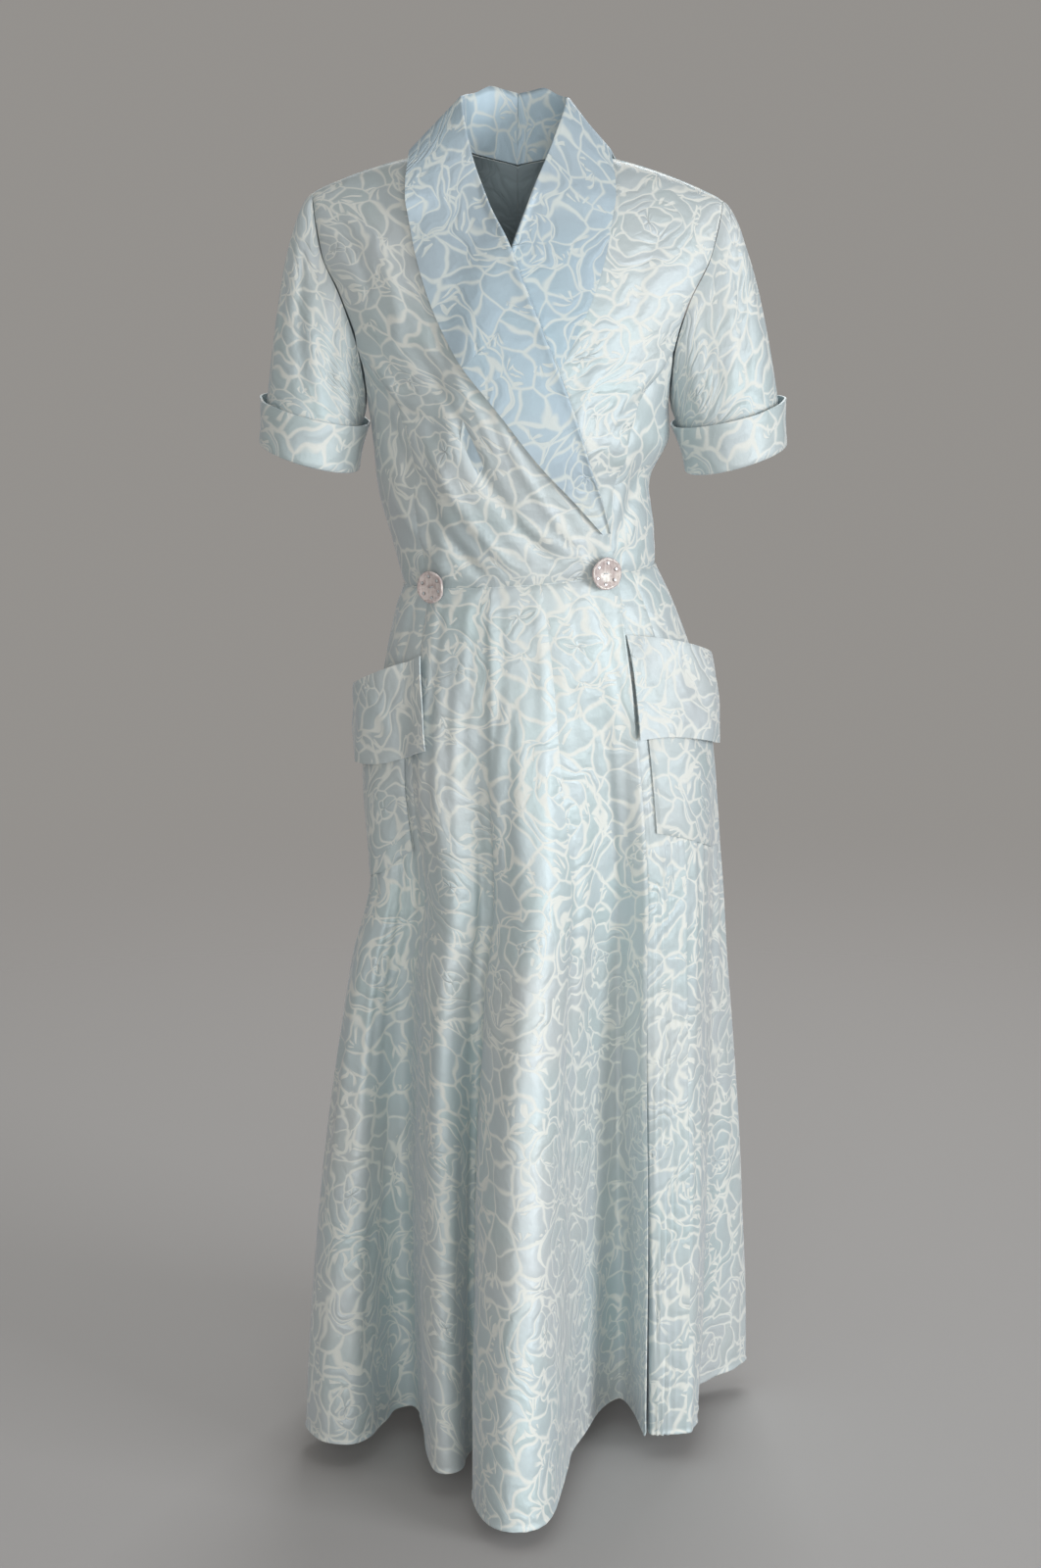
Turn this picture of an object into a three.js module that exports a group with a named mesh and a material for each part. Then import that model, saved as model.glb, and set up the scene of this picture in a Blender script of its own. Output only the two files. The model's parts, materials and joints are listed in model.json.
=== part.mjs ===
// A floor-length wrap dressing gown, worn but hollow: every piece of cloth is its own thin closed wall.
// Millimetres, +Z up, -Y is the front. Right and left are the wearer's, so right is at -X.
// The origin is the base of the neck, midway between the two points where shoulder and neck meet.
import * as THREE from "three";
import { mergeVertices } from "three/addons/utils/BufferGeometryUtils.js";

const cloth = 1.5; // thickness of the lined satin
const seam = 0.3; // space between two pieces that are sewn together
const waistHeight = -437;
const hemHeight = -1370;
const tipReach = 211; // from the middle to the tip of a shoulder
const shoulderBend = 2.1; // 1 for a straight shoulder, more for one that rounds off towards its tip
const wrapLift = 6.8; // how far the outer front stands off, to pass over the under front and its collar
const wrapEnd = -39; // angle where the under front ends below the outer one
const wrapRamp = 12; // degrees over which the outer front rises to its lift
const wrapMargin = 3; // degrees by which it is up before the under front ends
const leftCollarLift = 3.2; // outer face of a collar above the front that it lies on
const rightCollarLift = 5;
const arch = 12; // how far the collar's outer edge stands off where it passes over the shoulder
const standHeight = 68; // the collar's stand at the back of the neck
const cuffHeight = 46; // turned-back sleeve cuff
const pocketDrop = 200; // patch pocket, from its mouth to its lower seam
const buttonRadius = 17;
const stoneRadius = 1.7;
const stonesPerButton = 6;
const stoneHeight = 1.2;
const stoneRing = 11.2; // from the middle of a button to its stones
const shank = 5.4; // thread shank that a button stands on
const shankRadius = 2.5;
const shankSeat = 0.9; // foot of the shank above the wall's true curve, which its flat faces leave a little

// The body inside the bodice, from the waist (level 0) to the shoulder seam (level 1).
const torsoRows = [
  { level: 0, height: -437, drop: 0, centre: 12.5, halfWidth: 131.5, front: 98, back: 90, tilt: 10 },
  { level: 0.1, height: -395, drop: 0, centre: 6, halfWidth: 136, front: 104, back: 92, tilt: 9 },
  { level: 0.22, height: -345, drop: 0, centre: -3.5, halfWidth: 141, front: 114, back: 96, tilt: 6 },
  { level: 0.34, height: -300, drop: 0, centre: 3.5, halfWidth: 153, front: 121, back: 99, tilt: 3 },
  { level: 0.45, height: -262, drop: 0, centre: 1, halfWidth: 156, front: 119, back: 101, tilt: 1 },
  { level: 0.58, height: -205, drop: 4, centre: 0, halfWidth: 171, front: 110, back: 103, tilt: 0 },
  { level: 0.7, height: -150, drop: 12, centre: 0, halfWidth: 191, front: 96, back: 100, tilt: -4 },
  { level: 0.81, height: -98, drop: 24, centre: 0, halfWidth: 206, front: 78, back: 90, tilt: -4 },
  { level: 0.9, height: -50, drop: 36, centre: 0, halfWidth: 213, front: 54, back: 72, tilt: -4 },
  { level: 0.96, height: -16, drop: 46, centre: 0, halfWidth: 216, front: 29, back: 47, tilt: -4 },
  { level: 0.99, height: -2, drop: 49, centre: 0, halfWidth: 217, front: 10, back: 18, tilt: -4 },
  { level: 1, height: 0, drop: 50, centre: 0, halfWidth: 217, front: 0, back: 0, tilt: -4 },
];

// The skirt's smooth form, and the share of the hem's folds that has opened at each height.
const skirtRows = [
  { fall: 0, centre: 12.5, halfWidth: 131.5, front: 98, back: 90, tilt: 10, share: 0 },
  { fall: 43, centre: 17, halfWidth: 147, front: 106, back: 104, tilt: 10, share: 0 },
  { fall: 103, centre: 22, halfWidth: 163, front: 114, back: 124, tilt: 10, share: 0.01 },
  { fall: 203, centre: 25, halfWidth: 180, front: 120, back: 142, tilt: 9, share: 0.09 },
  { fall: 328, centre: 31, halfWidth: 187, front: 122, back: 152, tilt: 6, share: 0.24 },
  { fall: 413, centre: 24, halfWidth: 200, front: 126, back: 160, tilt: 3, share: 0.35 },
  { fall: 543, centre: 18, halfWidth: 214, front: 130, back: 172, tilt: 0, share: 0.52 },
  { fall: 678, centre: 14, halfWidth: 226, front: 134, back: 184, tilt: 0, share: 0.69 },
  { fall: 823, centre: 10, halfWidth: 235, front: 138, back: 196, tilt: 0, share: 0.87 },
  { fall: 933, centre: 8, halfWidth: 238, front: 140, back: 205, tilt: 0, share: 1 },
];

// The hem seen from above: each crest and hollow of the skirt's folds, and the way the cloth runs through it.
const hemFolds = [
  { angle: 33, x: 144, y: -53, runX: -10, runY: 40, sag: 0 }, // free edge of the wrap
  { angle: 21, x: 111, y: 64, runX: -70, runY: -10, sag: 0 },
  { angle: 8, x: 49, y: -108, runX: -24, runY: -110, sag: 3 },
  { angle: -3, x: 0, y: -278, runX: -120, runY: 0, sag: 12 }, // the great front fold
  { angle: -22, x: -47, y: -78, runX: -60, runY: 0, sag: 3 },
  { angle: -36, x: -75, y: -156, runX: -56, runY: 0, sag: 0 },
  { angle: -55, x: -121, y: 32, runX: -80, runY: 0, sag: 0 },
  { angle: -77, x: -184, y: -81, runX: -110, runY: 0, sag: 0 },
  { angle: -92, x: -232, y: -5, runX: 0, runY: 90, sag: 0 },
  { angle: -109, x: -178, y: 96, runX: 14, runY: 60, sag: 0 },
  { angle: -127, x: -196, y: 202, runX: 40, runY: 80, sag: 2 },
  { angle: -143, x: -112, y: 170, runX: 70, runY: 10, sag: 0 },
  { angle: -161, x: -74, y: 268, runX: 85, runY: 12, sag: 3 },
  { angle: -176, x: -8, y: 180, runX: 66, runY: 0, sag: 0 },
  { angle: -191, x: 60, y: 282, runX: 85, runY: -6, sag: 3 },
  { angle: -208, x: 96, y: 178, runX: 60, runY: -6, sag: 0 },
  { angle: -227, x: 166, y: 258, runX: 80, runY: -50, sag: 2 },
  { angle: -243, x: 190, y: 166, runX: 40, runY: -40, sag: 0 },
  { angle: -259, x: 262, y: 178, runX: 0, runY: -90, sag: 0 },
  { angle: -278, x: 200, y: 84, runX: 0, runY: -66, sag: 0 },
  { angle: -308, x: 181, y: -50, runX: -60, runY: -4, sag: 0 },
  { angle: -327, x: 144, y: -53, runX: -30, runY: 12, sag: 0 },
];

// An armhole, from the tip of the shoulder down the front, under the arm and up the back.
const armholeRows = [
  { turn: 0, level: 1, angleRight: 76.5, angleLeft: 76.5 },
  { turn: 0.08, level: 0.93, angleRight: 76, angleLeft: 75 },
  { turn: 0.16, level: 0.83, angleRight: 75, angleLeft: 71 },
  { turn: 0.24, level: 0.72, angleRight: 70.5, angleLeft: 65.5 },
  { turn: 0.32, level: 0.61, angleRight: 71, angleLeft: 68 },
  { turn: 0.4, level: 0.525, angleRight: 76, angleLeft: 75 },
  { turn: 0.46, level: 0.47, angleRight: 83, angleLeft: 83 },
  { turn: 0.5, level: 0.45, angleRight: 90, angleLeft: 90 },
  { turn: 0.54, level: 0.47, angleRight: 97, angleLeft: 97 },
  { turn: 0.6, level: 0.525, angleRight: 105, angleLeft: 105 },
  { turn: 0.68, level: 0.61, angleRight: 110, angleLeft: 110 },
  { turn: 0.76, level: 0.72, angleRight: 111, angleLeft: 111 },
  { turn: 0.84, level: 0.83, angleRight: 107, angleLeft: 107 },
  { turn: 0.92, level: 0.93, angleRight: 104, angleLeft: 104 },
  { turn: 1, level: 1, angleRight: 103.5, angleLeft: 103.5 },
];
const princessTurn = 0.34; // where the princess seams leave the armholes
// Turns at which the pieces round an armhole have their corners, so that their edges meet all along.
const frontTurns = [princessTurn, 0.28, 0.22, 0.16, 0.1, 0.05, 0];
const underTurns = [0.5, 0.46, 0.42, 0.38, princessTurn];
const backTurns = [0.5, 0.55, 0.6, 0.66, 0.72, 0.79, 0.86, 0.93, 1];

// The princess seams, from the waist up to the armhole.
const princessRight = [
  { up: 0, level: 0, angle: -54 },
  { up: 0.2, level: 0.12, angle: -50 },
  { up: 0.4, level: 0.24, angle: -47 },
  { up: 0.6, level: 0.36, angle: -49 },
  { up: 0.8, level: 0.48, angle: -55 },
];
const princessLeft = [
  { up: 0, level: 0, angle: 35 },
  { up: 0.2, level: 0.12, angle: 42 },
  { up: 0.4, level: 0.24, angle: 47 },
  { up: 0.6, level: 0.36, angle: 46 },
  { up: 0.8, level: 0.47, angle: 54 },
];

// The roll lines, where the fronts turn back as the collar, and the collar's outer edge beside each point.
// Heights are real; "rise" is how far the roll stands above the seam that it grows from.
const rollRight = [
  { up: 0, x: 87, z: -385, edgeX: 81, edgeZ: -386, rise: 0 },
  { up: 0.12, x: 73, z: -332, edgeX: 46, edgeZ: -342, rise: 0 },
  { up: 0.25, x: 58, z: -282, edgeX: 12, edgeZ: -302, rise: 0 },
  { up: 0.38, x: 42, z: -234, edgeX: -24, edgeZ: -256, rise: 0 },
  { up: 0.51, x: 22, z: -182, edgeX: -58, edgeZ: -212, rise: 0 },
  { up: 0.64, x: 3, z: -134, edgeX: -82, edgeZ: -167, rise: 0 },
  { up: 0.75, x: -12, z: -96, edgeX: -99, edgeZ: -118, rise: 1 },
  { up: 0.85, x: -31, z: -62, edgeX: -108, edgeZ: -76, rise: 6 },
  { up: 0.93, x: -48, z: -35, edgeX: -110, edgeZ: -44, rise: 24 },
  { up: 1, x: -58, z: -10, edgeX: -107, edgeZ: -17, rise: 48 },
];
const rollLeft = [
  { up: 0, x: -64, z: -385, edgeX: -58, edgeZ: -386, rise: 0 },
  { up: 0.14, x: -60, z: -326, edgeX: -44, edgeZ: -334, rise: 0 },
  { up: 0.3, x: -52, z: -262, edgeX: -8, edgeZ: -282, rise: 0 },
  { up: 0.44, x: -38, z: -206, edgeX: 38, edgeZ: -226, rise: 0 },
  { up: 0.58, x: -20, z: -146, edgeX: 68, edgeZ: -168, rise: 0 },
  { up: 0.7, x: -3, z: -98, edgeX: 86, edgeZ: -118, rise: 1 },
  { up: 0.82, x: 13, z: -60, edgeX: 95, edgeZ: -72, rise: 6 },
  { up: 0.92, x: 34, z: -32, edgeX: 96, edgeZ: -42, rise: 26 },
  { up: 1, x: 51, z: -9, edgeX: 92, edgeZ: -15, rise: 48 },
];
// Behind the shoulder seam the collar runs round the neckline; angle 180 is the centre back.
const neckRows = [
  { angle: 164.5, edgeX: 101, edgeZ: -17, rise: 50 },
  { angle: 168.4, edgeX: 95, edgeZ: -44, rise: 58 },
  { angle: 172.2, edgeX: 74, edgeZ: -57, rise: standHeight },
  { angle: 176.1, edgeX: 40, edgeZ: -66, rise: standHeight },
  { angle: 180, edgeX: 0, edgeZ: -70, rise: standHeight },
];
const neckDip = 0.045; // levels that the neckline dips at the back

const lerp = (a, b, t) => a + (b - a) * t;
const radians = (angle) => (angle * Math.PI) / 180;
const degrees = (angle) => (angle * 180) / Math.PI;
const smooth = (t) => {
  const s = Math.min(1, Math.max(0, t));
  return s * s * (3 - 2 * s);
};

// A smooth curve through one column of a table, at a place given by its first column.
function along(rows, place, key, at) {
  let i = 0;
  while (i < rows.length - 2 && at > rows[i + 1][place]) i++;
  const slope = (k) => {
    const a = Math.max(0, k - 1);
    const b = Math.min(rows.length - 1, k + 1);
    return (rows[b][key] - rows[a][key]) / (rows[b][place] - rows[a][place]);
  };
  const gap = rows[i + 1][place] - rows[i][place];
  const t = (at - rows[i][place]) / gap;
  const t2 = t * t;
  const t3 = t2 * t;
  return (
    rows[i][key] * (2 * t3 - 3 * t2 + 1) +
    slope(i) * gap * (t3 - 2 * t2 + t) +
    rows[i + 1][key] * (3 * t2 - 2 * t3) +
    slope(i + 1) * gap * (t3 - t2)
  );
}

// A point of the body's oval; angle 0 is straight ahead, 90 the wearer's left, 180 the back.
function ovalPoint(row, angle, height, drop) {
  const a = radians(angle);
  const x = row.centre + row.halfWidth * Math.sin(a);
  const ahead = Math.cos(a);
  const y = -(ahead > 0 ? row.front : row.back) * ahead;
  const fallen = drop * Math.pow(Math.abs(x) / tipReach, shoulderBend);
  return new THREE.Vector3(x, y, height - fallen + row.tilt * Math.sin(a));
}

function torsoRow(level) {
  const row = {};
  for (const key of ["height", "drop", "centre", "halfWidth", "front", "back", "tilt"]) {
    row[key] = along(torsoRows, "level", key, level);
  }
  return row;
}

function torsoPoint(level, angle) {
  const row = torsoRow(level);
  return ovalPoint(row, angle, row.height, row.drop);
}

// The level and angle of the place on the body at a given x and z, on its front or back.
function placeOn(side, x, z) {
  let low = 0;
  let high = 1;
  let angle = 0;
  for (let step = 0; step < 30; step++) {
    const level = (low + high) / 2;
    const row = torsoRow(level);
    const sine = Math.min(1, Math.max(-1, (x - row.centre) / row.halfWidth));
    angle = degrees(Math.asin(sine));
    if (side === "back") angle = 180 - angle;
    if (ovalPoint(row, angle, row.height, row.drop).z < z) low = level;
    else high = level;
  }
  return { level: (low + high) / 2, angle };
}

// The skirt at an angle and a distance below the waist, with the folds that have opened by then.
function hemPoint(angle) {
  let turned = angle;
  while (turned > hemFolds[0].angle) turned -= 360;
  while (turned < hemFolds[hemFolds.length - 1].angle) turned += 360;
  let i = 0;
  while (i < hemFolds.length - 2 && turned < hemFolds[i + 1].angle) i++;
  const a = hemFolds[i];
  const b = hemFolds[i + 1];
  const t = (a.angle - turned) / (a.angle - b.angle);
  const t2 = t * t;
  const t3 = t2 * t;
  const mix = (from, to, runFrom, runTo) =>
    from * (2 * t3 - 3 * t2 + 1) + runFrom * (t3 - 2 * t2 + t) + to * (3 * t2 - 2 * t3) + runTo * (t3 - t2);
  return {
    x: mix(a.x, b.x, a.runX, b.runX),
    y: mix(a.y, b.y, a.runY, b.runY),
    sag: lerp(a.sag, b.sag, smooth(t)),
  };
}

function skirtPoint(fall, angle) {
  const row = {};
  for (const key of ["centre", "halfWidth", "front", "back", "tilt", "share"]) {
    row[key] = along(skirtRows, "fall", key, fall);
  }
  const point = ovalPoint(row, angle, waistHeight - fall, 0);
  const last = skirtRows[skirtRows.length - 1];
  const plain = ovalPoint(last, angle, hemHeight, 0);
  const hem = hemPoint(angle);
  point.x += row.share * (hem.x - plain.x);
  point.y += row.share * (hem.y - plain.y);
  point.z -= row.share * hem.sag;
  return point;
}

// How far the outer front and the outer skirt stand off at an angle, to pass over the under layer.
function overlapLift(angle, end) {
  return wrapLift * smooth((angle - end + wrapMargin + wrapRamp) / wrapRamp);
}

// The way out of a surface point, from its two neighbours each way. On every surface u x v points out.
function outward(surface, u, v) {
  const step = 1e-3;
  const alongU = surface(Math.min(1, u + step), v).sub(surface(Math.max(0, u - step), v));
  const alongV = surface(u, Math.min(1, v + step)).sub(surface(u, Math.max(0, v - step)));
  return alongU.cross(alongV).normalize();
}

// Evenly spaced values from 0 to 1.
const spaced = (count) => Array.from({ length: count + 1 }, (_, i) => i / count);

// Closes two matching grids of points, the outer and the inner face of a wall, into one solid.
function closeWall(outer, inner, isRing) {
  const columns = outer.length;
  const rows = outer[0].length;
  const points = [];
  for (const face of [outer, inner]) {
    for (const column of face) for (const p of column) points.push(p.x, p.y, p.z);
  }
  const at = (face, i, j) => (face * columns + (i % columns)) * rows + j;
  const corners = [];
  const quad = (a, b, c, d) => corners.push(a, b, c, a, c, d);
  const last = isRing ? columns : columns - 1;
  for (let i = 0; i < last; i++) {
    for (let j = 0; j < rows - 1; j++) {
      quad(at(0, i, j), at(0, i + 1, j), at(0, i + 1, j + 1), at(0, i, j + 1));
      quad(at(1, i, j), at(1, i, j + 1), at(1, i + 1, j + 1), at(1, i + 1, j));
    }
    quad(at(1, i, 0), at(1, i + 1, 0), at(0, i + 1, 0), at(0, i, 0));
    quad(at(0, i, rows - 1), at(0, i + 1, rows - 1), at(1, i + 1, rows - 1), at(1, i, rows - 1));
  }
  if (!isRing) {
    const end = columns - 1;
    for (let j = 0; j < rows - 1; j++) {
      quad(at(1, 0, j + 1), at(1, 0, j), at(0, 0, j), at(0, 0, j + 1));
      quad(at(0, end, j + 1), at(0, end, j), at(1, end, j), at(1, end, j + 1));
    }
  }
  const geometry = new THREE.BufferGeometry();
  geometry.setAttribute("position", new THREE.Float32BufferAttribute(points, 3));
  geometry.setIndex(corners);
  return facingOut(geometry);
}

// Turns a closed shape's faces round where its volume comes out negative.
function facingOut(geometry) {
  const p = geometry.getAttribute("position");
  const index = geometry.getIndex();
  const [a, b, c] = [new THREE.Vector3(), new THREE.Vector3(), new THREE.Vector3()];
  let volume = 0;
  for (let i = 0; i < index.count; i += 3) {
    a.fromBufferAttribute(p, index.getX(i));
    b.fromBufferAttribute(p, index.getX(i + 1));
    c.fromBufferAttribute(p, index.getX(i + 2));
    volume += a.dot(b.cross(c));
  }
  if (volume < 0) {
    for (let i = 0; i < index.count; i += 3) {
      const swap = index.getX(i + 1);
      index.setX(i + 1, index.getX(i + 2));
      index.setX(i + 2, swap);
    }
  }
  geometry.computeVertexNormals();
  return geometry;
}

// A wall of cloth on a surface. lift is the outer face's height above it. seams say how the wall stands
// along an edge that is sewn to another piece, so that both pieces share one way out there. trims names
// the edges that draw back by half a seam: u and v at their starts, U and V at their ends.
function clothWall(surface, { us, vs, lift = () => 0, isRing = false, seams = {}, trims = "uUvV" }) {
  const outer = [];
  const inner = [];
  const step = 2e-3;
  for (const u of us) {
    const outerColumn = [];
    const innerColumn = [];
    for (const v of vs) {
      const point = surface(u, v);
      const trim = (edge, isOnEdge, inside) => {
        if (isOnEdge && trims.includes(edge)) point.add(inside.sub(surface(u, v)).setLength(seam / 2));
      };
      trim("u", u === 0 && !isRing, surface(step, v));
      trim("U", u === 1 && !isRing, surface(1 - step, v));
      trim("v", v === 0, surface(u, step));
      trim("V", v === 1, surface(u, 1 - step));
      let out = outward(surface, u, v);
      if (v === 0 && seams.v) out = seams.v(u, out);
      if (v === 1 && seams.V) out = seams.V(u, out);
      if (u === 0 && seams.u) out = seams.u(v, out);
      if (u === 1 && seams.U) out = seams.U(v, out);
      const height = lift(u, v);
      outerColumn.push(point.clone().addScaledVector(out, height));
      innerColumn.push(point.clone().addScaledVector(out, height - cloth));
    }
    outer.push(outerColumn);
    inner.push(innerColumn);
  }
  return closeWall(outer, inner, isRing);
}

const brocade = (colour) => new THREE.MeshStandardMaterial({ color: colour, roughness: 0.45, metalness: 0 });
const gown = new THREE.Group();
function add(name, geometry, material) {
  const mesh = new THREE.Mesh(geometry, material);
  mesh.name = name;
  gown.add(mesh);
}

// Ways out that two pieces share along a seam.
function waistOut(angle) {
  const row = torsoRow(0);
  const a = radians(angle);
  const depth = Math.cos(a) > 0 ? row.front : row.back;
  return new THREE.Vector3(Math.sin(a) / row.halfWidth, -Math.cos(a) / depth, 0).normalize();
}
function shoulderOut(x) {
  const reach = Math.abs(x) / tipReach;
  const slope = (torsoRow(1).drop * shoulderBend * Math.pow(reach, shoulderBend - 1)) / tipReach;
  return new THREE.Vector3(Math.sign(x) * slope, 0, 1).normalize();
}

function armholePlace(sign, turn) {
  const key = sign < 0 ? "angleRight" : "angleLeft";
  const level = along(armholeRows, "turn", "level", turn);
  return { level, angle: sign * along(armholeRows, "turn", key, turn) };
}
function armholePoint(sign, turn) {
  const place = armholePlace(sign, turn);
  return torsoPoint(place.level, place.angle);
}

// The sleeve runs from the armhole to an oval hem that hangs beside the body. It sets off and arrives
// more boldly over the shoulder than under the arm.
const sleeveRuns = [
  { under: 0, leaveX: 95, leaveZ: -80, arriveX: 22, arriveZ: -190 },
  { under: 1, leaveX: 22, leaveZ: -55, arriveX: 6, arriveZ: -60 },
];
const sleeveSpread = 18; // and spreads this much to the front and the back
const sleeveHems = {
  "-1": { x: -216, y: -2, z: -313, halfWidth: 48, halfDepth: 56, slope: 14, dip: 6 },
  1: { x: 226.5, y: -2, z: -315, halfWidth: 49, halfDepth: 56, slope: 14, dip: 6 },
};
function sleeveHemPoint(sign, turn) {
  const hem = sleeveHems[sign];
  const a = turn * 2 * Math.PI;
  const out = Math.cos(a);
  const ahead = Math.sin(a);
  return new THREE.Vector3(
    hem.x + sign * hem.halfWidth * out,
    hem.y - hem.halfDepth * ahead,
    hem.z + hem.slope * out - hem.dip * ahead,
  );
}
function sleevePoint(sign, turn, down) {
  const start = armholePoint(sign, turn);
  const end = sleeveHemPoint(sign, turn);
  const under = (1 - Math.cos(2 * Math.PI * turn)) / 2;
  const run = (key) => lerp(sleeveRuns[0][key], sleeveRuns[1][key], under);
  const spread = -sleeveSpread * Math.sin(2 * Math.PI * turn);
  const leave = new THREE.Vector3(sign * run("leaveX"), spread, run("leaveZ"));
  const arrive = new THREE.Vector3(sign * run("arriveX"), 0, run("arriveZ"));
  const t = down;
  const t2 = t * t;
  const t3 = t2 * t;
  return start
    .multiplyScalar(2 * t3 - 3 * t2 + 1)
    .addScaledVector(leave, t3 - 2 * t2 + t)
    .addScaledVector(end, 3 * t2 - 2 * t3)
    .addScaledVector(arrive, t3 - t2);
}

// Along the armhole, body and sleeve both stand along the middle of their own two ways out.
function armholeOut(sign, turn) {
  const isTip = turn < 1e-6 || turn > 1 - 1e-6;
  const place = armholePlace(sign, turn);
  const bodyNear = (u, v) => torsoPoint(place.level + (v - 0.5) * 0.02, place.angle + (u - 0.5) * 2);
  const tubeNear = (u, v) => sleevePoint(sign, (turn + (u - 0.5) * 0.02 + 1) % 1, 0.03 + (v - 0.5) * 0.02);
  const body = isTip ? shoulderOut(sign * tipReach) : outward(bodyNear, 0.5, 0.5);
  return body.addScaledVector(outward(tubeNear, 0.5, 0.5), sign).normalize();
}

// A bodice panel is a patch between four lines drawn on the body, each giving a level and an angle.
function bodicePatch(left, right, bottom, top) {
  const mixed = (q, r, key) => {
    const l = left(r)[key];
    const t = right(r)[key];
    let value = lerp(l, t, q);
    const corners = (s) => lerp(left(s)[key], right(s)[key], q);
    if (bottom) value += (1 - r) * (bottom(q)[key] - corners(0));
    if (top) value += r * (top(q)[key] - corners(1));
    return value;
  };
  const place = (q, r) => ({ level: mixed(q, r, "level"), angle: mixed(q, r, "angle") });
  const surface = (q, r) => {
    const spot = place(q, r);
    return torsoPoint(spot.level, spot.angle);
  };
  return { place, surface };
}

// A princess seam up to the armhole, then the armhole up to the shoulder's tip.
const princessShare = 0.5; // share of a front's height below the armhole
function princessPlace(sign, up) {
  const rows = sign < 0 ? princessRight : princessLeft;
  const end = armholePlace(sign, princessTurn);
  const full = [...rows, { up: 1, level: end.level, angle: end.angle }];
  return { level: along(full, "up", "level", up), angle: along(full, "up", "angle", up) };
}
function frontSide(sign, r) {
  if (r <= princessShare) return princessPlace(sign, r / princessShare);
  return armholePlace(sign, lerp(princessTurn, 0, (r - princessShare) / (1 - princessShare)));
}

// The free edge of a front: up from the waist to the start of the roll, then along the roll to the neck.
const rollShare = 0.1;
function rollPlace(rows, up) {
  if (up >= 1) {
    const last = rows[rows.length - 1];
    return { level: 1, angle: degrees(Math.asin(last.x / torsoRow(1).halfWidth)) };
  }
  return placeOn("front", along(rows, "up", "x", up), along(rows, "up", "z", up));
}
function frontEdge(rows, waistAngle, r) {
  if (r >= rollShare) return rollPlace(rows, (r - rollShare) / (1 - rollShare));
  const start = rollPlace(rows, 0);
  const t = r / rollShare;
  return { level: lerp(0, start.level, t), angle: lerp(waistAngle, start.angle, t) };
}

const lowerRows = [0, 0.1, 0.2, 0.3, 0.4, princessShare];
const rowOfTurn = (turn) => princessShare + (1 - princessShare) * (1 - turn / princessTurn);
const frontRows = [...lowerRows, ...frontTurns.slice(1).map(rowOfTurn)];
const skirtEdgeAngle = 41.5; // the wrap's free corner at the waist

// The angle at which the under front ends at a level: along its roll line, and below that down to the waist.
function underEnd(level) {
  const row = torsoRow(level);
  const waist = torsoRow(0);
  const foot = rollLeft[0];
  const top = rollLeft[rollLeft.length - 1];
  const waistX = waist.centre + waist.halfWidth * Math.sin(radians(wrapEnd));
  const isBelowRoll = row.height < foot.z;
  const x = isBelowRoll
    ? lerp(waistX, foot.x, (row.height - waistHeight) / (foot.z - waistHeight))
    : along(rollLeft, "z", "x", Math.min(row.height, top.z));
  return degrees(Math.asin((x - row.centre) / row.halfWidth));
}

// The two fronts part above the crossing of the V, so there the outer one comes back down to the body.
const crossingLevel = 0.8;
const partedLevel = 0.92;
function rightFrontLift(place) {
  const parted = smooth((place.level - crossingLevel) / (partedLevel - crossingLevel));
  return overlapLift(place.angle, underEnd(Math.min(place.level, crossingLevel + 0.02))) * (1 - parted);
}

const frontColumns = 9;
function frontPanel(name, sign, rows, waistAngle, liftOf, colour) {
  const side = (r) => frontSide(sign, r);
  const edge = (r) => frontEdge(rows, waistAngle, r);
  const patch = sign < 0 ? bodicePatch(side, edge) : bodicePatch(edge, side);
  const turnAt = (r) => princessTurn * (1 - (r - princessShare) / (1 - princessShare));
  const sideOut = (r, out) => (r > princessShare ? armholeOut(sign, turnAt(r)) : out);
  const seams = {
    v: (q) => waistOut(patch.place(q, 0).angle),
    V: (q) => shoulderOut(patch.surface(q, 1).x),
  };
  seams[sign < 0 ? "u" : "U"] = sideOut;
  const lift = (q, r) => liftOf(patch.place(q, r));
  const wall = clothWall(patch.surface, { us: spaced(frontColumns), vs: frontRows, lift, seams });
  add(name, wall, brocade(colour));
}
frontPanel("bodice_right_front", -1, rollRight, skirtEdgeAngle, rightFrontLift, 0xc3d3d8);
frontPanel("bodice_left_front", 1, rollLeft, wrapEnd, () => 0, 0xbccfd6);

const underArm = 0.45; // level of the armhole's lowest point, where the side seam ends
function sideFront(name, sign, colour) {
  const sideSeam = (r) => ({ level: underArm * r, angle: sign * 90 });
  const princess = (r) => princessPlace(sign, r);
  const turnAt = (q) => lerp(0.5, princessTurn, sign < 0 ? q : 1 - q);
  const top = (q) => armholePlace(sign, turnAt(q));
  const [left, right] = sign < 0 ? [sideSeam, princess] : [princess, sideSeam];
  const patch = bodicePatch(left, right, null, top);
  const seams = {
    v: (q) => waistOut(patch.place(q, 0).angle),
    V: (q) => armholeOut(sign, turnAt(q)),
  };
  const share = (turn) => (0.5 - turn) / (0.5 - princessTurn);
  const us = underTurns.map((turn) => (sign < 0 ? share(turn) : 1 - share(turn))).sort((a, b) => a - b);
  const vs = lowerRows.map((r) => r / princessShare);
  add(name, clothWall(patch.surface, { us, vs, seams }), brocade(colour));
}
sideFront("bodice_right_side_front", -1, 0xcbd9dc);
sideFront("bodice_left_side_front", 1, 0xcbd9dc);

// The back neckline, and the shoulder seams beside it.
function neckPlace(angle) {
  const halfNeck = 180 - neckRows[0].angle;
  const inNeck = Math.max(0, 1 - Math.abs(angle - 180) / halfNeck);
  return { level: 1 - neckDip * Math.sqrt(inNeck), angle };
}

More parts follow.
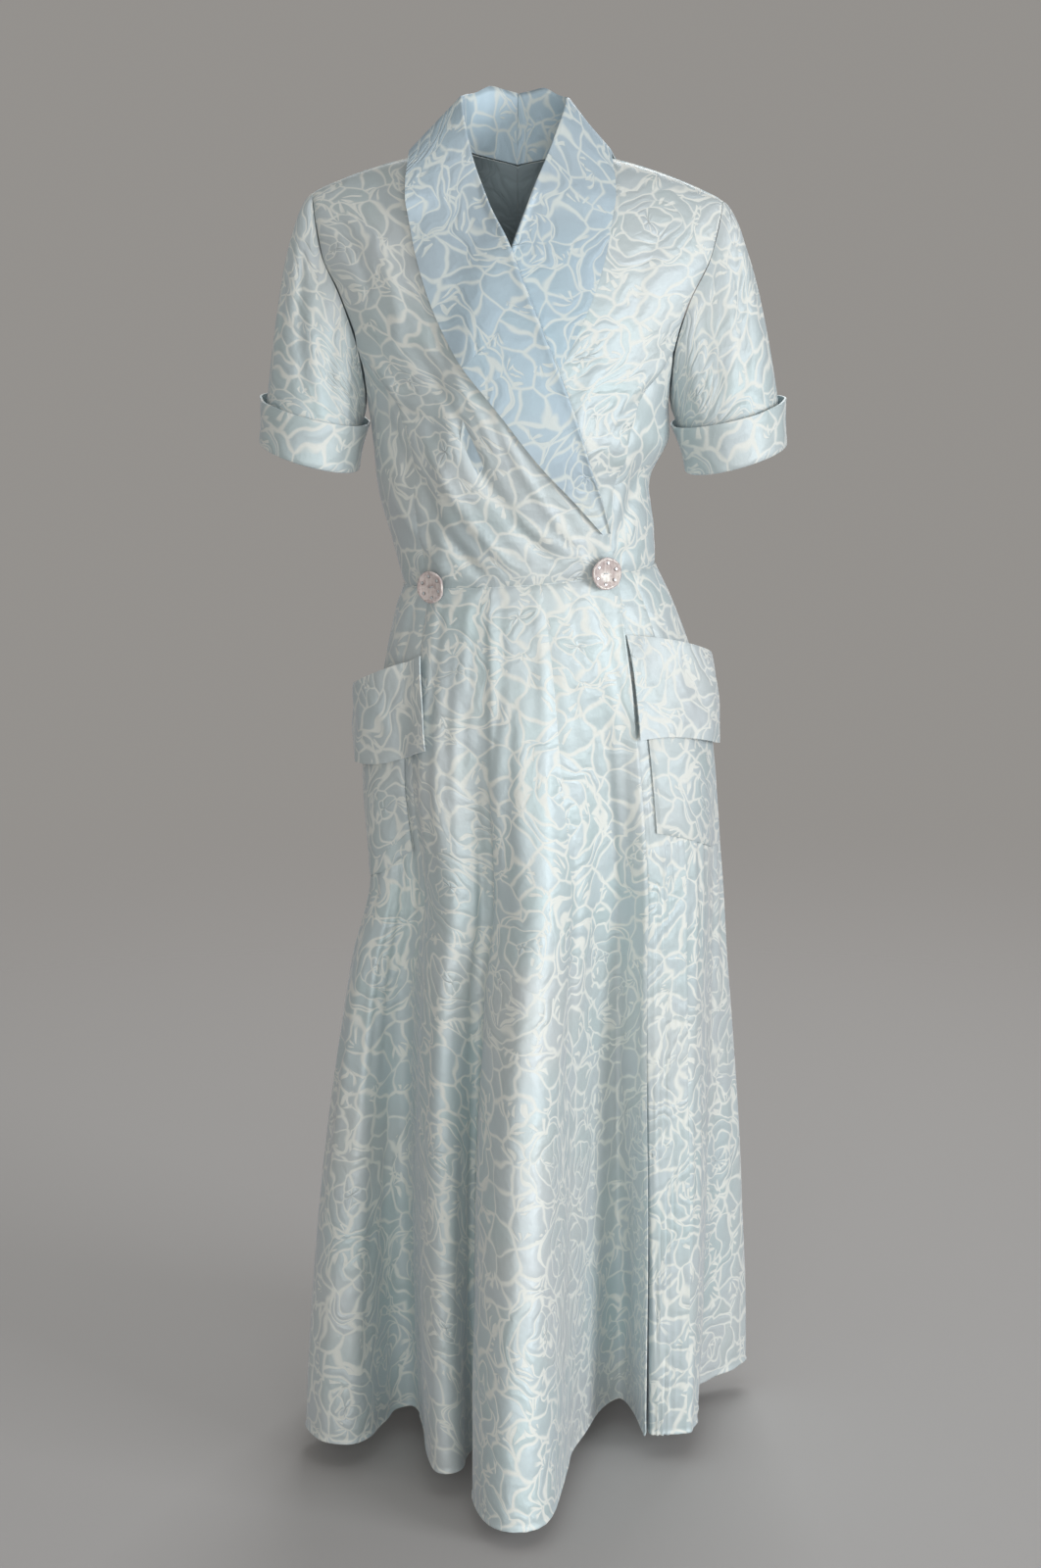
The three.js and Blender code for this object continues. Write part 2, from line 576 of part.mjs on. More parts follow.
// The back: from the wearer's left side seam round to the right one, with the neckline cut into its top
// and a seam down its middle.
function backPanels() {
  const edge = (sign, r) => {
    if (r <= underArm) return { level: r, angle: 90 };
    const place = armholePlace(sign, turnAt(r));
    return { level: place.level, angle: place.angle * sign };
  };
  const turnAt = (r) => lerp(0.5, 1, (r - underArm) / (1 - underArm));
  const left = (r) => edge(1, r);
  const right = (r) => ({ level: edge(-1, r).level, angle: 360 - edge(-1, r).angle });
  const top = (q) => neckPlace(lerp(left(1).angle, right(1).angle, q));
  const patch = bodicePatch(left, right, null, top);
  const tipAngle = left(1).angle;
  const qOf = (angle) => (angle - tipAngle) / (360 - 2 * tipAngle);
  const neckQ = qOf(neckRows[0].angle);
  const stations = [...spaced(4).map((q) => q * neckQ), ...neckRows.slice(1).map((row) => qOf(row.angle))];
  const upper = backTurns.map((turn) => underArm + (1 - underArm) * (turn - 0.5) * 2);
  const vs = [...lowerRows.slice(0, -1).map((r) => (r / princessShare) * underArm), ...upper];
  for (const [name, sign] of [["left", 1], ["right", -1]]) {
    // u runs over one half: away from the left side seam, or on from the middle to the right one.
    const qAt = (u) => (sign > 0 ? u / 2 : (1 + u) / 2);
    const surface = (u, r) => patch.surface(qAt(u), r);
    const us = sign > 0 ? stations.map((q) => q * 2) : stations.map((q) => 1 - q * 2).reverse();
    const isShoulder = (q) => Math.abs(q - 0.5) > 0.5 - neckQ - 1e-6;
    const sideOut = (r, out) => (r > underArm ? armholeOut(sign, turnAt(r)) : out);
    const seams = {
      v: (u) => waistOut(patch.place(qAt(u), 0).angle),
      V: (u, out) => (isShoulder(qAt(u)) ? shoulderOut(surface(u, 1).x) : out),
    };
    seams[sign > 0 ? "u" : "U"] = sideOut;
    const colour = sign > 0 ? 0xbfd0d6 : 0xb8cad1;
    add(`bodice_back_${name}`, clothWall(surface, { us, vs, seams }), brocade(colour));
  }
}
backPanels();

// Sleeves, and the cuffs that turn back over their hems.
const frontToUnder = [...[...frontTurns].reverse(), ...[...underTurns].reverse().slice(1)];
const sleeveTurns = [...frontToUnder, ...backTurns.slice(1, -1)];
const sleeveDowns = [0, 0.12, 0.28, 0.46, 0.64, 0.82, 1];
// A cuff's two faces off the sleeve, at shares of its height above the hem.
const cuffRows = [
  { height: 0, inside: 0.3, outside: 4 },
  { height: 0.5, inside: 3, outside: 5 },
  { height: 1, inside: 6, outside: 8 },
];
const cuffHang = 2.3; // the turn of the cuff hangs this far below the sleeve's hem
const hemGap = 0.7; // clear space between the hem and the turn
for (const [name, sign] of [["right", -1], ["left", 1]]) {
  const turnOf = (u) => (sign < 0 ? 1 - u : u) % 1;
  const surface = (u, v) => sleevePoint(sign, turnOf(u), v);
  const us = sign < 0 ? sleeveTurns.map((turn) => 1 - turn) : sleeveTurns;
  const seams = { v: (u) => armholeOut(sign, turnOf(u)) };
  const sleeve = clothWall(surface, { us, vs: sleeveDowns, isRing: true, seams, trims: "v" });
  add(`sleeve_${name}`, sleeve, brocade(0xc2d2d6));
  // The place on the sleeve that is a height above its hem, moved out.
  const cuffPoint = (u, height, grow) => {
    const goal = surface(u, 1).z + height;
    let low = 0;
    let high = 1;
    for (let step = 0; step < 24; step++) {
      const v = (low + high) / 2;
      if (surface(u, v).z > goal) low = v;
      else high = v;
    }
    const out = outward(surface, u, Math.min(0.98, (low + high) / 2));
    out.z = 0;
    return surface(u, (low + high) / 2).addScaledVector(out.normalize(), grow);
  };
  const hang = (p, drop) => p.setZ(p.z - drop);
  const [turnRow, ...upperRows] = cuffRows;
  const outer = us.map((u) => [
    hang(cuffPoint(u, 0, turnRow.inside), cuffHang),
    hang(cuffPoint(u, 0, turnRow.outside), cuffHang),
    ...upperRows.map((row) => cuffPoint(u, row.height * cuffHeight, row.outside)),
  ]);
  const inner = us.map((u) => [
    hang(cuffPoint(u, 0, turnRow.inside), hemGap),
    hang(cuffPoint(u, 0, turnRow.outside - cloth), hemGap),
    ...upperRows.map((row) => cuffPoint(u, row.height * cuffHeight, row.inside)),
  ]);
  add(`cuff_${name}`, closeWall(outer, inner, true), brocade(0xc8d7da));
}

// The collar: from the tip of the wrap along the roll line and round the neck to the centre back.
const standRise = 14; // rise at which the collar no longer lies on the body
const fallSteps = 5; // faces across the part that lies outside
// Its section at the seam and the roll: how far in towards the neck, and how high, on its two faces.
const collarTurn = {
  outer: [{ ahead: -2.1, above: 0 }, { ahead: -2.4, above: 1.2 }, { ahead: -0.6, above: 0.4 }],
  inner: [{ ahead: -0.5, above: 0 }, { ahead: -0.6, above: 0.9 }, { ahead: 0.4, above: -cloth }],
};
const seamHeight = { flat: -1.4, standing: 0.8 }; // of the collar's lower edge over the seam
function collarHalf(name, sign, rollRows, collarLift, colour) {
  const upOf = (r) => (r - rollShare) / (1 - rollShare);
  const stations = [
    ...frontRows.filter((r) => r >= rollShare).map((r) => ({ up: upOf(r) })),
    { neck: lerp(neckRows[0].angle, neckRows[1].angle, 0.5) },
    ...neckRows.slice(1).map((row) => ({ neck: row.angle })),
  ];
  const lifted = (place) => (sign < 0 ? rightFrontLift(place) : 0);
  const wayOut = (place) => {
    const level = Math.min(0.998, place.level);
    return outward((u, v) => torsoPoint(level + (v - 0.5) * 0.002, place.angle + (u - 0.5)), 0.5, 0.5);
  };
  const outer = [];
  const inner = [];
  for (const station of stations) {
    const isBack = station.neck !== undefined;
    const value = (key) =>
      isBack ? along(neckRows, "angle", key, station.neck) : along(rollRows, "up", key, station.up);
    const seat = isBack ? neckPlace(station.neck) : rollPlace(rollRows, station.up);
    if (isBack) seat.angle *= sign;
    const seatOut = wayOut(seat);
    const root = torsoPoint(seat.level, seat.angle).addScaledVector(seatOut, lifted(seat));
    const rise = value("rise");
    const free = smooth(rise / standRise); // 0 where the collar lies flat, 1 where it stands up
    const upward = seatOut.clone().lerp(new THREE.Vector3(0, 0, 1), free).normalize();
    const edgeX = value("edgeX") * (isBack ? sign : 1);
    const edgePlace = placeOn(isBack ? "back" : "front", edgeX, value("edgeZ"));
    if (isBack && sign < 0) edgePlace.angle -= 360;
    const edgeOut = wayOut(edgePlace);
    const edgeBase = torsoPoint(edgePlace.level, edgePlace.angle).addScaledVector(edgeOut, lifted(edgePlace));
    const across = edgeBase.clone().sub(root);
    across.addScaledVector(upward, -across.dot(upward)).normalize();
    const spot = (a, h) => root.clone().addScaledVector(across, a).addScaledVector(upward, h);
    const turned = ([low, roll, top]) => [
      spot(low.ahead, low.above + lerp(seamHeight.flat, seamHeight.standing, free)),
      spot(roll.ahead, roll.above + rise),
      spot(top.ahead, top.above + rise + collarLift),
    ];
    const outerColumn = turned(collarTurn.outer);
    const innerColumn = turned(collarTurn.inner);
    for (let k = 1; k <= fallSteps; k++) {
      const w = k / fallSteps;
      const between = (key) => lerp(seat[key], edgePlace[key], w);
      const spotPlace = { level: between("level"), angle: between("angle") };
      const out = wayOut(spotPlace);
      const lying = torsoPoint(spotPlace.level, spotPlace.angle).addScaledVector(out, lifted(spotPlace));
      const top = (height) => {
        const edge = edgeBase.clone().addScaledVector(edgeOut, height + arch * free);
        const chord = spot(0, rise + height).lerp(edge, w);
        return lying.clone().addScaledVector(out, height).lerp(chord, free);
      };
      outerColumn.push(top(collarLift));
      innerColumn.push(top(collarLift - cloth));
    }
    outer.push(outerColumn);
    inner.push(innerColumn);
  }
  const back = outer.length - 1;
  for (const face of [outer, inner]) for (const p of face[back]) p.x = sign * seam * 0.5;
  add(name, closeWall(outer, inner, false), brocade(colour));
}
collarHalf("collar_right", -1, rollRight, rightCollarLift, 0xb4cbdc);
collarHalf("collar_left", 1, rollLeft, leftCollarLift, 0xb4cbdc);

// The skirt's gores, each from one seam angle to the next, from the hem up to the waist.
const hemEdgeAngle = 33;
const edgeCurve = 45; // fall over which the wrap's free edge swings in from its corner at the waist
const freeEdge = (fall) => hemEdgeAngle + (skirtEdgeAngle - hemEdgeAngle) * Math.exp(-fall / edgeCurve);
const sideAngle = -90; // the outer skirt is lifted only in front of this
const gores = [
  { name: "skirt_right_side_front", from: -51, to: 5, columns: 14, layer: "outer" },
  { name: "skirt_right_side", from: -99, to: -51, columns: 9, layer: "outer" },
  { name: "skirt_back_right", from: -179, to: -99, columns: 12, layer: "outer" },
  { name: "skirt_back_left", from: -251, to: -179, columns: 12, layer: "outer" },
  { name: "skirt_left_side", from: -307, to: -251, columns: 8, layer: "outer" },
  { name: "skirt_right_front", from: 5, to: hemEdgeAngle, columns: 7, layer: "wrap" },
  { name: "skirt_left_front", from: -399, to: -307, columns: 23, layer: "under" },
];
const goreFalls = [0, 43, 103, 190, 290, 400, 520, 650, 790, 933];
const skirtLength = waistHeight - hemHeight;
for (const [index, gore] of gores.entries()) {
  const fallAt = (v) => (1 - v) * skirtLength;
  const angleAt = (u, v) => lerp(gore.from, gore.layer === "wrap" ? freeEdge(fallAt(v)) : gore.to, u);
  const surface = (u, v) => skirtPoint(fallAt(v), angleAt(u, v));
  const isLifted = (angle) => gore.layer !== "under" && angle > sideAngle;
  const lift = (u, v) => (isLifted(angleAt(u, v)) ? overlapLift(angleAt(u, v), wrapEnd) : 0);
  const us = spaced(gore.columns);
  const vs = goreFalls.map((fall) => 1 - fall / skirtLength).reverse();
  const seams = { V: (u) => waistOut(angleAt(u, 1)) };
  add(gore.name, clothWall(surface, { us, vs, lift, seams }), brocade(index % 2 ? 0xbdd0d5 : 0xc4d4d8));
}

// Patch pockets: sewn down at the sides and foot, gaping at the mouth, each with a cuff turned down outside.
// The skirt under them runs straight between its rows, as the gores do.
function skirtGround(fall, angle) {
  let i = 0;
  while (i < goreFalls.length - 2 && fall > goreFalls[i + 1]) i++;
  const t = (fall - goreFalls[i]) / (goreFalls[i + 1] - goreFalls[i]);
  return skirtPoint(goreFalls[i], angle).lerp(skirtPoint(goreFalls[i + 1], angle), t);
}
// Each runs between two angles, with its mouth at a fall below the waist at either side.
const pockets = [
  { name: "right", from: -111, to: -55, mouthFrom: 100, mouthTo: 68, gape: 17 },
  { name: "left", from: 39, to: 95, mouthFrom: 60, mouthTo: 90, gape: 13 },
];
// Each cuff drops over its pocket, and is wider than it by a share at either side.
const pocketCuffs = {
  right: { drop: 98, overFrom: 0.04, overTo: 0.17 },
  left: { drop: 106, overFrom: 0.05, overTo: 0.04 },
};
const pocketStand = 2; // inner face of a pocket above the skirt along its seams
const cuffSeat = 0.8; // a pocket's cuff off the pocket at its fold
const cuffKick = 6.4; // and at its free lower edge
const cuffTopFold = 4; // its fold stands a little above the mouth
const bulgePower = 0.7; // below 1, a mouth's gape is broad rather than pointed
for (const pocket of pockets) {
  const cuff = pocketCuffs[pocket.name];
  const angleAt = (u) => lerp(pocket.from, pocket.to, u);
  const mouth = (u) => lerp(pocket.mouthFrom, pocket.mouthTo, u);
  const groundLift = (u) => (angleAt(u) > hemEdgeAngle ? 0 : overlapLift(angleAt(u), wrapEnd));
  const bulge = (u) => Math.pow(Math.sin(Math.PI * Math.min(1, Math.max(0, u))), bulgePower);
  const surface = (u, v) => skirtGround(mouth(u) + pocketDrop * (1 - v), angleAt(u));
  const lift = (u, share) => pocketStand + cloth + groundLift(u) + pocket.gape * bulge(u) * share * share;
  const pocketWall = clothWall(surface, { us: spaced(7), vs: spaced(5), lift, trims: "" });
  add(`pocket_${pocket.name}`, pocketWall, brocade(0xb9cdd6));

  const wide = (u) => lerp(-cuff.overFrom, 1 + cuff.overTo, u);
  const fallOf = (u, v) => mouth(wide(u)) + cuff.drop * (1 - v) - cuffTopFold * v;
  const cuffSurface = (u, v) => skirtGround(fallOf(u, v), angleAt(wide(u)));
  const cuffLift = (u, v) => {
    const share = 1 - Math.max(0, fallOf(u, v) - mouth(wide(u))) / pocketDrop;
    return lift(wide(u), share) + cloth + lerp(cuffKick, cuffSeat, v);
  };
  const cuffWall = clothWall(cuffSurface, { us: spaced(8), vs: spaced(4), lift: cuffLift, trims: "" });
  add(`pocket_cuff_${pocket.name}`, cuffWall, brocade(0xc0d2da));
}

// Shell buttons: a dished disc with a rounded rim and a small thread shank, and stones set round the face.
function placeOnSkin(geometry, spot, out) {
  const turn = new THREE.Quaternion().setFromUnitVectors(new THREE.Vector3(0, 0, 1), out);
  geometry.applyQuaternion(turn);
  geometry.translate(spot.x, spot.y, spot.z);
  return geometry;
}
function solid(geometry) {
  geometry.deleteAttribute("normal");
  geometry.deleteAttribute("uv");
  return facingOut(mergeVertices(geometry, 1e-3));
}
const shell = new THREE.MeshStandardMaterial({ color: 0xe6cfcf, roughness: 0.22, metalness: 0 });
const crystal = new THREE.MeshStandardMaterial({ color: 0xdfe6ea, roughness: 0.08, metalness: 0.3 });
const buttons = [
  { name: "right", angle: -44.5, level: 0.004 },
  { name: "left", angle: 33, level: 0.012 },
];
// A disc's outline, in from its rim and up from the top of its shank.
const discRows = [
  { inset: 3, up: 0.2 },
  { inset: 0.8, up: 1.2 },
  { inset: 0, up: 2.5 },
  { inset: 0.8, up: 3.7 },
  { inset: 2.6, up: 3.7 },
  { inset: 6, up: 3 },
  { inset: buttonRadius, up: 2.5 },
];
const stoneSeat = 3.5; // the dished face under the stones, up from the top of the shank
const firstStone = 0.4; // angle of the first stone, in radians
for (const button of buttons) {
  const out = waistOut(button.angle);
  const ground = rightFrontLift({ level: button.level, angle: button.angle });
  const foot = torsoPoint(button.level, button.angle).addScaledVector(out, ground + shankSeat);
  const profile = [
    new THREE.Vector2(0, 0),
    new THREE.Vector2(shankRadius, 0),
    new THREE.Vector2(shankRadius, shank),
    ...discRows.map((row) => new THREE.Vector2(buttonRadius - row.inset, shank + row.up)),
  ];
  const disc = new THREE.LatheGeometry(profile, 20);
  disc.rotateX(Math.PI / 2);
  add(`button_${button.name}`, solid(placeOnSkin(disc, foot, out)), shell);
  for (let k = 0; k < stonesPerButton; k++) {
    const a = (k / stonesPerButton) * 2 * Math.PI + firstStone;
    const stone = new THREE.CylinderGeometry(stoneRadius * 0.55, stoneRadius, stoneHeight, 8);
    stone.rotateX(Math.PI / 2);
    const height = shank + stoneSeat + seam + stoneHeight / 2;
    stone.translate(stoneRing * Math.cos(a), stoneRing * Math.sin(a), height);
    add(`rhinestone_${button.name}_${k + 1}`, solid(placeOnSkin(stone, foot, out)), crystal);
  }
}

export default gown;
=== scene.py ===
import json
import math

import bmesh
import bpy
import numpy as np
from mathutils import Matrix, Vector

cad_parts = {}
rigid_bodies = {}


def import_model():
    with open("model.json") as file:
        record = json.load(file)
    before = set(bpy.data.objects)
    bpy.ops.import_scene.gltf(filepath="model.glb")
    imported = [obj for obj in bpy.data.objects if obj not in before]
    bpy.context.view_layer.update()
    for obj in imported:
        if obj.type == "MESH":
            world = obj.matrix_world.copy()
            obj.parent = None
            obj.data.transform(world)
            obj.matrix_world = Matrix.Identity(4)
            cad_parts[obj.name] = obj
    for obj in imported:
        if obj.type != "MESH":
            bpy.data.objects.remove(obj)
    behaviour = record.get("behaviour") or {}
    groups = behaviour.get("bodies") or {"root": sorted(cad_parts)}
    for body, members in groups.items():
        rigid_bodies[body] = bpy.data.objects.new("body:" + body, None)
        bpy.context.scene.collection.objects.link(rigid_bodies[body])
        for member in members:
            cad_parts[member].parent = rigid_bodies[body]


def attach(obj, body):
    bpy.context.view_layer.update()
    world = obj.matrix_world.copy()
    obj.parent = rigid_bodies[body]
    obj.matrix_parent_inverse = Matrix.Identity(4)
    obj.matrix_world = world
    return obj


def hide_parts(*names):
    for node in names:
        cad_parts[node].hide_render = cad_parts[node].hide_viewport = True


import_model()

for name in ("Cube", "Light", "Camera"):  # what a new file starts with
    if name in bpy.data.objects:
        bpy.data.objects.remove(bpy.data.objects[name])
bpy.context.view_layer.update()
mm = 0.001  # every table and function below is in millimetres, and the meshes are made in metres
print("frame loaded")


# The shape of the gown, in the same short tables as the solids.
def table(names, *rows):
    return {name: np.array(column, float) for name, column in zip(names.split(), zip(*rows))}


torso = table(
    "level height drop centre halfWidth front back tilt",
    (0, -437, 0, 12.5, 131.5, 98, 90, 10),
    (0.1, -395, 0, 6, 136, 104, 92, 9),
    (0.22, -345, 0, -3.5, 141, 114, 96, 6),
    (0.34, -300, 0, 3.5, 153, 121, 99, 3),
    (0.45, -262, 0, 1, 156, 119, 101, 1),
    (0.58, -205, 4, 0, 171, 110, 103, 0),
    (0.7, -150, 12, 0, 191, 96, 100, -4),
    (0.81, -98, 24, 0, 206, 78, 90, -4),
    (0.9, -50, 36, 0, 213, 54, 72, -4),
    (0.96, -16, 46, 0, 216, 29, 47, -4),
    (0.99, -2, 49, 0, 217, 10, 18, -4),
    (1, 0, 50, 0, 217, 0, 0, -4),
)
skirt = table(
    "fall centre halfWidth front back tilt share",
    (0, 12.5, 131.5, 98, 90, 10, 0),
    (43, 17, 147, 106, 104, 10, 0),
    (103, 22, 163, 114, 124, 10, 0.01),
    (203, 25, 180, 120, 142, 9, 0.09),
    (328, 31, 187, 122, 152, 6, 0.24),
    (413, 24, 200, 126, 160, 3, 0.35),
    (543, 18, 214, 130, 172, 0, 0.52),
    (678, 14, 226, 134, 184, 0, 0.69),
    (823, 10, 235, 138, 196, 0, 0.87),
    (933, 8, 238, 140, 205, 0, 1),
)
hemFolds = table(  # the hem from above, and the way the cloth runs through each crest and hollow
    "angle x y runX runY sag",
    (33, 144, -53, -10, 40, 0),
    (21, 111, 64, -70, -10, 0),
    (8, 49, -108, -24, -110, 3),
    (-3, 0, -278, -120, 0, 12),
    (-22, -47, -78, -60, 0, 3),
    (-36, -75, -156, -56, 0, 0),
    (-55, -121, 32, -80, 0, 0),
    (-77, -184, -81, -110, 0, 0),
    (-92, -232, -5, 0, 90, 0),
    (-109, -178, 96, 14, 60, 0),
    (-127, -196, 202, 40, 80, 2),
    (-143, -112, 170, 70, 10, 0),
    (-161, -74, 268, 85, 12, 3),
    (-176, -8, 180, 66, 0, 0),
    (-191, 60, 282, 85, -6, 3),
    (-208, 96, 178, 60, -6, 0),
    (-227, 166, 258, 80, -50, 2),
    (-243, 190, 166, 40, -40, 0),
    (-259, 262, 178, 0, -90, 0),
    (-278, 200, 84, 0, -66, 0),
    (-308, 181, -50, -60, -4, 0),
    (-327, 144, -53, -30, 12, 0),
)
armhole = table(
    "turn level angleRight angleLeft",
    (0, 1, 76.5, 76.5),
    (0.08, 0.93, 76, 75),
    (0.16, 0.83, 75, 71),
    (0.24, 0.72, 70.5, 65.5),
    (0.32, 0.61, 71, 68),
    (0.4, 0.525, 76, 75),
    (0.46, 0.47, 83, 83),
    (0.5, 0.45, 90, 90),
    (0.54, 0.47, 97, 97),
    (0.6, 0.525, 105, 105),
    (0.68, 0.61, 110, 110),
    (0.76, 0.72, 111, 111),
    (0.84, 0.83, 107, 107),
    (0.92, 0.93, 104, 104),
    (1, 1, 103.5, 103.5),
)
princess = {
    -1: table(
        "up level angle",
        (0, 0, -54),
        (0.2, 0.12, -50),
        (0.4, 0.24, -47),
        (0.6, 0.36, -49),
        (0.8, 0.48, -55),
    ),
    1: table(
        "up level angle",
        (0, 0, 35),
        (0.2, 0.12, 42),
        (0.4, 0.24, 47),
        (0.6, 0.36, 46),
        (0.8, 0.47, 54),
    ),
}
roll = {  # the line where each front turns back as the collar, and the collar's outer edge beside it
    -1: table(
        "up x z edgeX edgeZ rise",
        (0, 87, -385, 81, -386, 0),
        (0.12, 73, -332, 46, -342, 0),
        (0.25, 58, -282, 12, -302, 0),
        (0.38, 42, -234, -24, -256, 0),
        (0.51, 22, -182, -58, -212, 0),
        (0.64, 3, -134, -82, -167, 0),
        (0.75, -12, -96, -99, -118, 1),
        (0.85, -31, -62, -108, -76, 6),
        (0.93, -48, -35, -110, -44, 24),
        (1, -58, -10, -107, -17, 48),
    ),
    1: table(
        "up x z edgeX edgeZ rise",
        (0, -64, -385, -58, -386, 0),
        (0.14, -60, -326, -44, -334, 0),
        (0.3, -52, -262, -8, -282, 0),
        (0.44, -38, -206, 38, -226, 0),
        (0.58, -20, -146, 68, -168, 0),
        (0.7, -3, -98, 86, -118, 1),
        (0.82, 13, -60, 95, -72, 6),
        (0.92, 34, -32, 96, -42, 26),
        (1, 51, -9, 92, -15, 48),
    ),
}
neck = table(
    "angle edgeX edgeZ rise",
    (164.5, 101, -17, 50),
    (168.4, 95, -44, 58),
    (172.2, 74, -57, 68),
    (176.1, 40, -66, 68),
    (180, 0, -70, 68),
)
body = {
    "cloth": 1.3, "weld": 0.02, "seam": 0.3, "waist": -437, "hem": -1370,
    "tipReach": 211, "shoulderBend": 2.1, "neckDip": 0.045,
    "wrapLift": 6.8, "wrapEnd": -39, "wrapRamp": 12, "wrapMargin": 3, "wrapCorner": 41.5, "wrapEdge": 33,
    "edgeCurve": 45, "princessTurn": 0.34, "underArm": 0.45, "princessShare": 0.5, "rollShare": 0.1,
    "crossing": 0.8, "parted": 0.92, "sleeveSpread": 18,
}


def lerp(a, b, t):
    return a + (b - a) * t


def smooth(t):
    s = np.clip(t, 0, 1)
    return s * s * (3 - 2 * s)


def hermite(a, b, runA, runB, t):
    t2, t3 = t * t, t * t * t
    return a * (2 * t3 - 3 * t2 + 1) + runA * (t3 - 2 * t2 + t) + b * (3 * t2 - 2 * t3) + runB * (t3 - t2)


def along(rows, place, key, at):  # a smooth curve through one column of a table
    x, y = rows[place], rows[key]
    slope = np.empty(len(y))
    slope[1:-1] = (y[2:] - y[:-2]) / (x[2:] - x[:-2])
    slope[0] = (y[1] - y[0]) / (x[1] - x[0])
    slope[-1] = (y[-1] - y[-2]) / (x[-1] - x[-2])
    at = np.asarray(at, float)
    i = np.clip(np.searchsorted(x[1:], at, side="left"), 0, len(x) - 2)
    gap = x[i + 1] - x[i]
    return hermite(y[i], y[i + 1], slope[i] * gap, slope[i + 1] * gap, (at - x[i]) / gap)


def unit(vectors):
    return vectors / np.maximum(np.linalg.norm(vectors, axis=-1, keepdims=True), 1e-9)


def xyz(x, y, z):
    return np.stack(np.broadcast_arrays(x, y, z), axis=-1).astype(float)


def oval(row, angle, height, drop):  # angle 0 is straight ahead, 90 the wearer's left
    a = np.radians(angle)
    x = row["centre"] + row["halfWidth"] * np.sin(a)
    ahead = np.cos(a)
    y = -np.where(ahead > 0, row["front"], row["back"]) * ahead
    fallen = drop * (np.abs(x) / body["tipReach"]) ** body["shoulderBend"]
    return xyz(x, y, height - fallen + row["tilt"] * np.sin(a))


def torsoRow(level):
    return {key: along(torso, "level", key, level) for key in torso}


def torsoPoint(level, angle):
    row = torsoRow(level)
    return oval(row, angle, row["height"], row["drop"])


def placeOn(isBack, x, z):  # the level and angle of a place on the body
    x, z = np.broadcast_arrays(np.asarray(x, float), np.asarray(z, float))
    low, high = np.zeros(x.shape), np.ones(x.shape)
    for _ in range(30):
        level = (low + high) / 2
        row = torsoRow(level)
        angle = np.degrees(np.arcsin(np.clip((x - row["centre"]) / row["halfWidth"], -1, 1)))
        angle = np.where(isBack, 180 - angle, angle)
        isLow = oval(row, angle, row["height"], row["drop"])[..., 2] < z
        low, high = np.where(isLow, level, low), np.where(isLow, high, level)
    return (low + high) / 2, angle


def hemPoint(angle):
    first = hemFolds["angle"][0]
    turned = first - np.mod(first - angle, 360)
    i = np.searchsorted(-hemFolds["angle"][1:], -turned, side="left")
    i = np.clip(i, 0, len(hemFolds["angle"]) - 2)
    a = {key: column[i] for key, column in hemFolds.items()}
    b = {key: column[i + 1] for key, column in hemFolds.items()}
    t = (a["angle"] - turned) / (a["angle"] - b["angle"])
    x = hermite(a["x"], b["x"], a["runX"], b["runX"], t)
    y = hermite(a["y"], b["y"], a["runY"], b["runY"], t)
    return x, y, lerp(a["sag"], b["sag"], smooth(t))


def skirtPoint(fall, angle):
    fall, angle = np.broadcast_arrays(np.asarray(fall, float), np.asarray(angle, float))
    row = {key: along(skirt, "fall", key, fall) for key in skirt}
    point = oval(row, angle, body["waist"] - fall, 0)
    last = {key: column[-1] for key, column in skirt.items()}
    plain = oval(last, angle, body["hem"], 0)
    x, y, sag = hemPoint(angle)
    point[..., 0] += row["share"] * (x - plain[..., 0])
    point[..., 1] += row["share"] * (y - plain[..., 1])
    point[..., 2] -= row["share"] * sag
    return point


def waistOut(angle):
    row = {key: column[0] for key, column in torso.items()}
    a = np.radians(angle)
    depth = np.where(np.cos(a) > 0, row["front"], row["back"])
    return unit(xyz(np.sin(a) / row["halfWidth"], -np.cos(a) / depth, 0 * a))


def outOf(surface, first, second, stepFirst, stepSecond):
    a = surface(first + stepFirst, second) - surface(first - stepFirst, second)
    b = surface(first, second + stepSecond) - surface(first, second - stepSecond)
    return unit(np.cross(a, b))


def torsoOut(level, angle):  # the way out of the body, shared by every piece that meets there
    level, angle = np.broadcast_arrays(np.asarray(level, float), np.asarray(angle, float))
    inside = np.clip(level, 0.004, 0.985)
    out = -outOf(torsoPoint, inside, angle, 0.004, 0.5)
    return unit(lerp(waistOut(angle), out, smooth(level / 0.05)[..., None]))


def skirtOut(fall, angle):
    fall, angle = np.broadcast_arrays(np.asarray(fall, float), np.asarray(angle, float))
    out = outOf(skirtPoint, fall, angle, 2.0, 0.25)
    return unit(lerp(waistOut(angle), out, smooth(fall / 40)[..., None]))


def overlapLift(angle, end):
    start = end - body["wrapMargin"] - body["wrapRamp"]
    return body["wrapLift"] * smooth((angle - start) / body["wrapRamp"])


def underEnd(level):  # the angle where the under front ends, below the outer one
    row = torsoRow(level)
    foot, top = roll[1]["z"][0], roll[1]["z"][-1]
    waistX = torso["centre"][0] + torso["halfWidth"][0] * math.sin(math.radians(body["wrapEnd"]))
    low = lerp(waistX, roll[1]["x"][0], (row["height"] - body["waist"]) / (foot - body["waist"]))
    high = along(roll[1], "z", "x", np.minimum(row["height"], top))
    x = np.where(row["height"] < foot, low, high)
    return np.degrees(np.arcsin(np.clip((x - row["centre"]) / row["halfWidth"], -1, 1)))


def rightFrontLift(level, angle):
    parted = smooth((level - body["crossing"]) / (body["parted"] - body["crossing"]))
    return overlapLift(angle, underEnd(np.minimum(level, body["crossing"] + 0.02))) * (1 - parted)


print("shape tables ready")


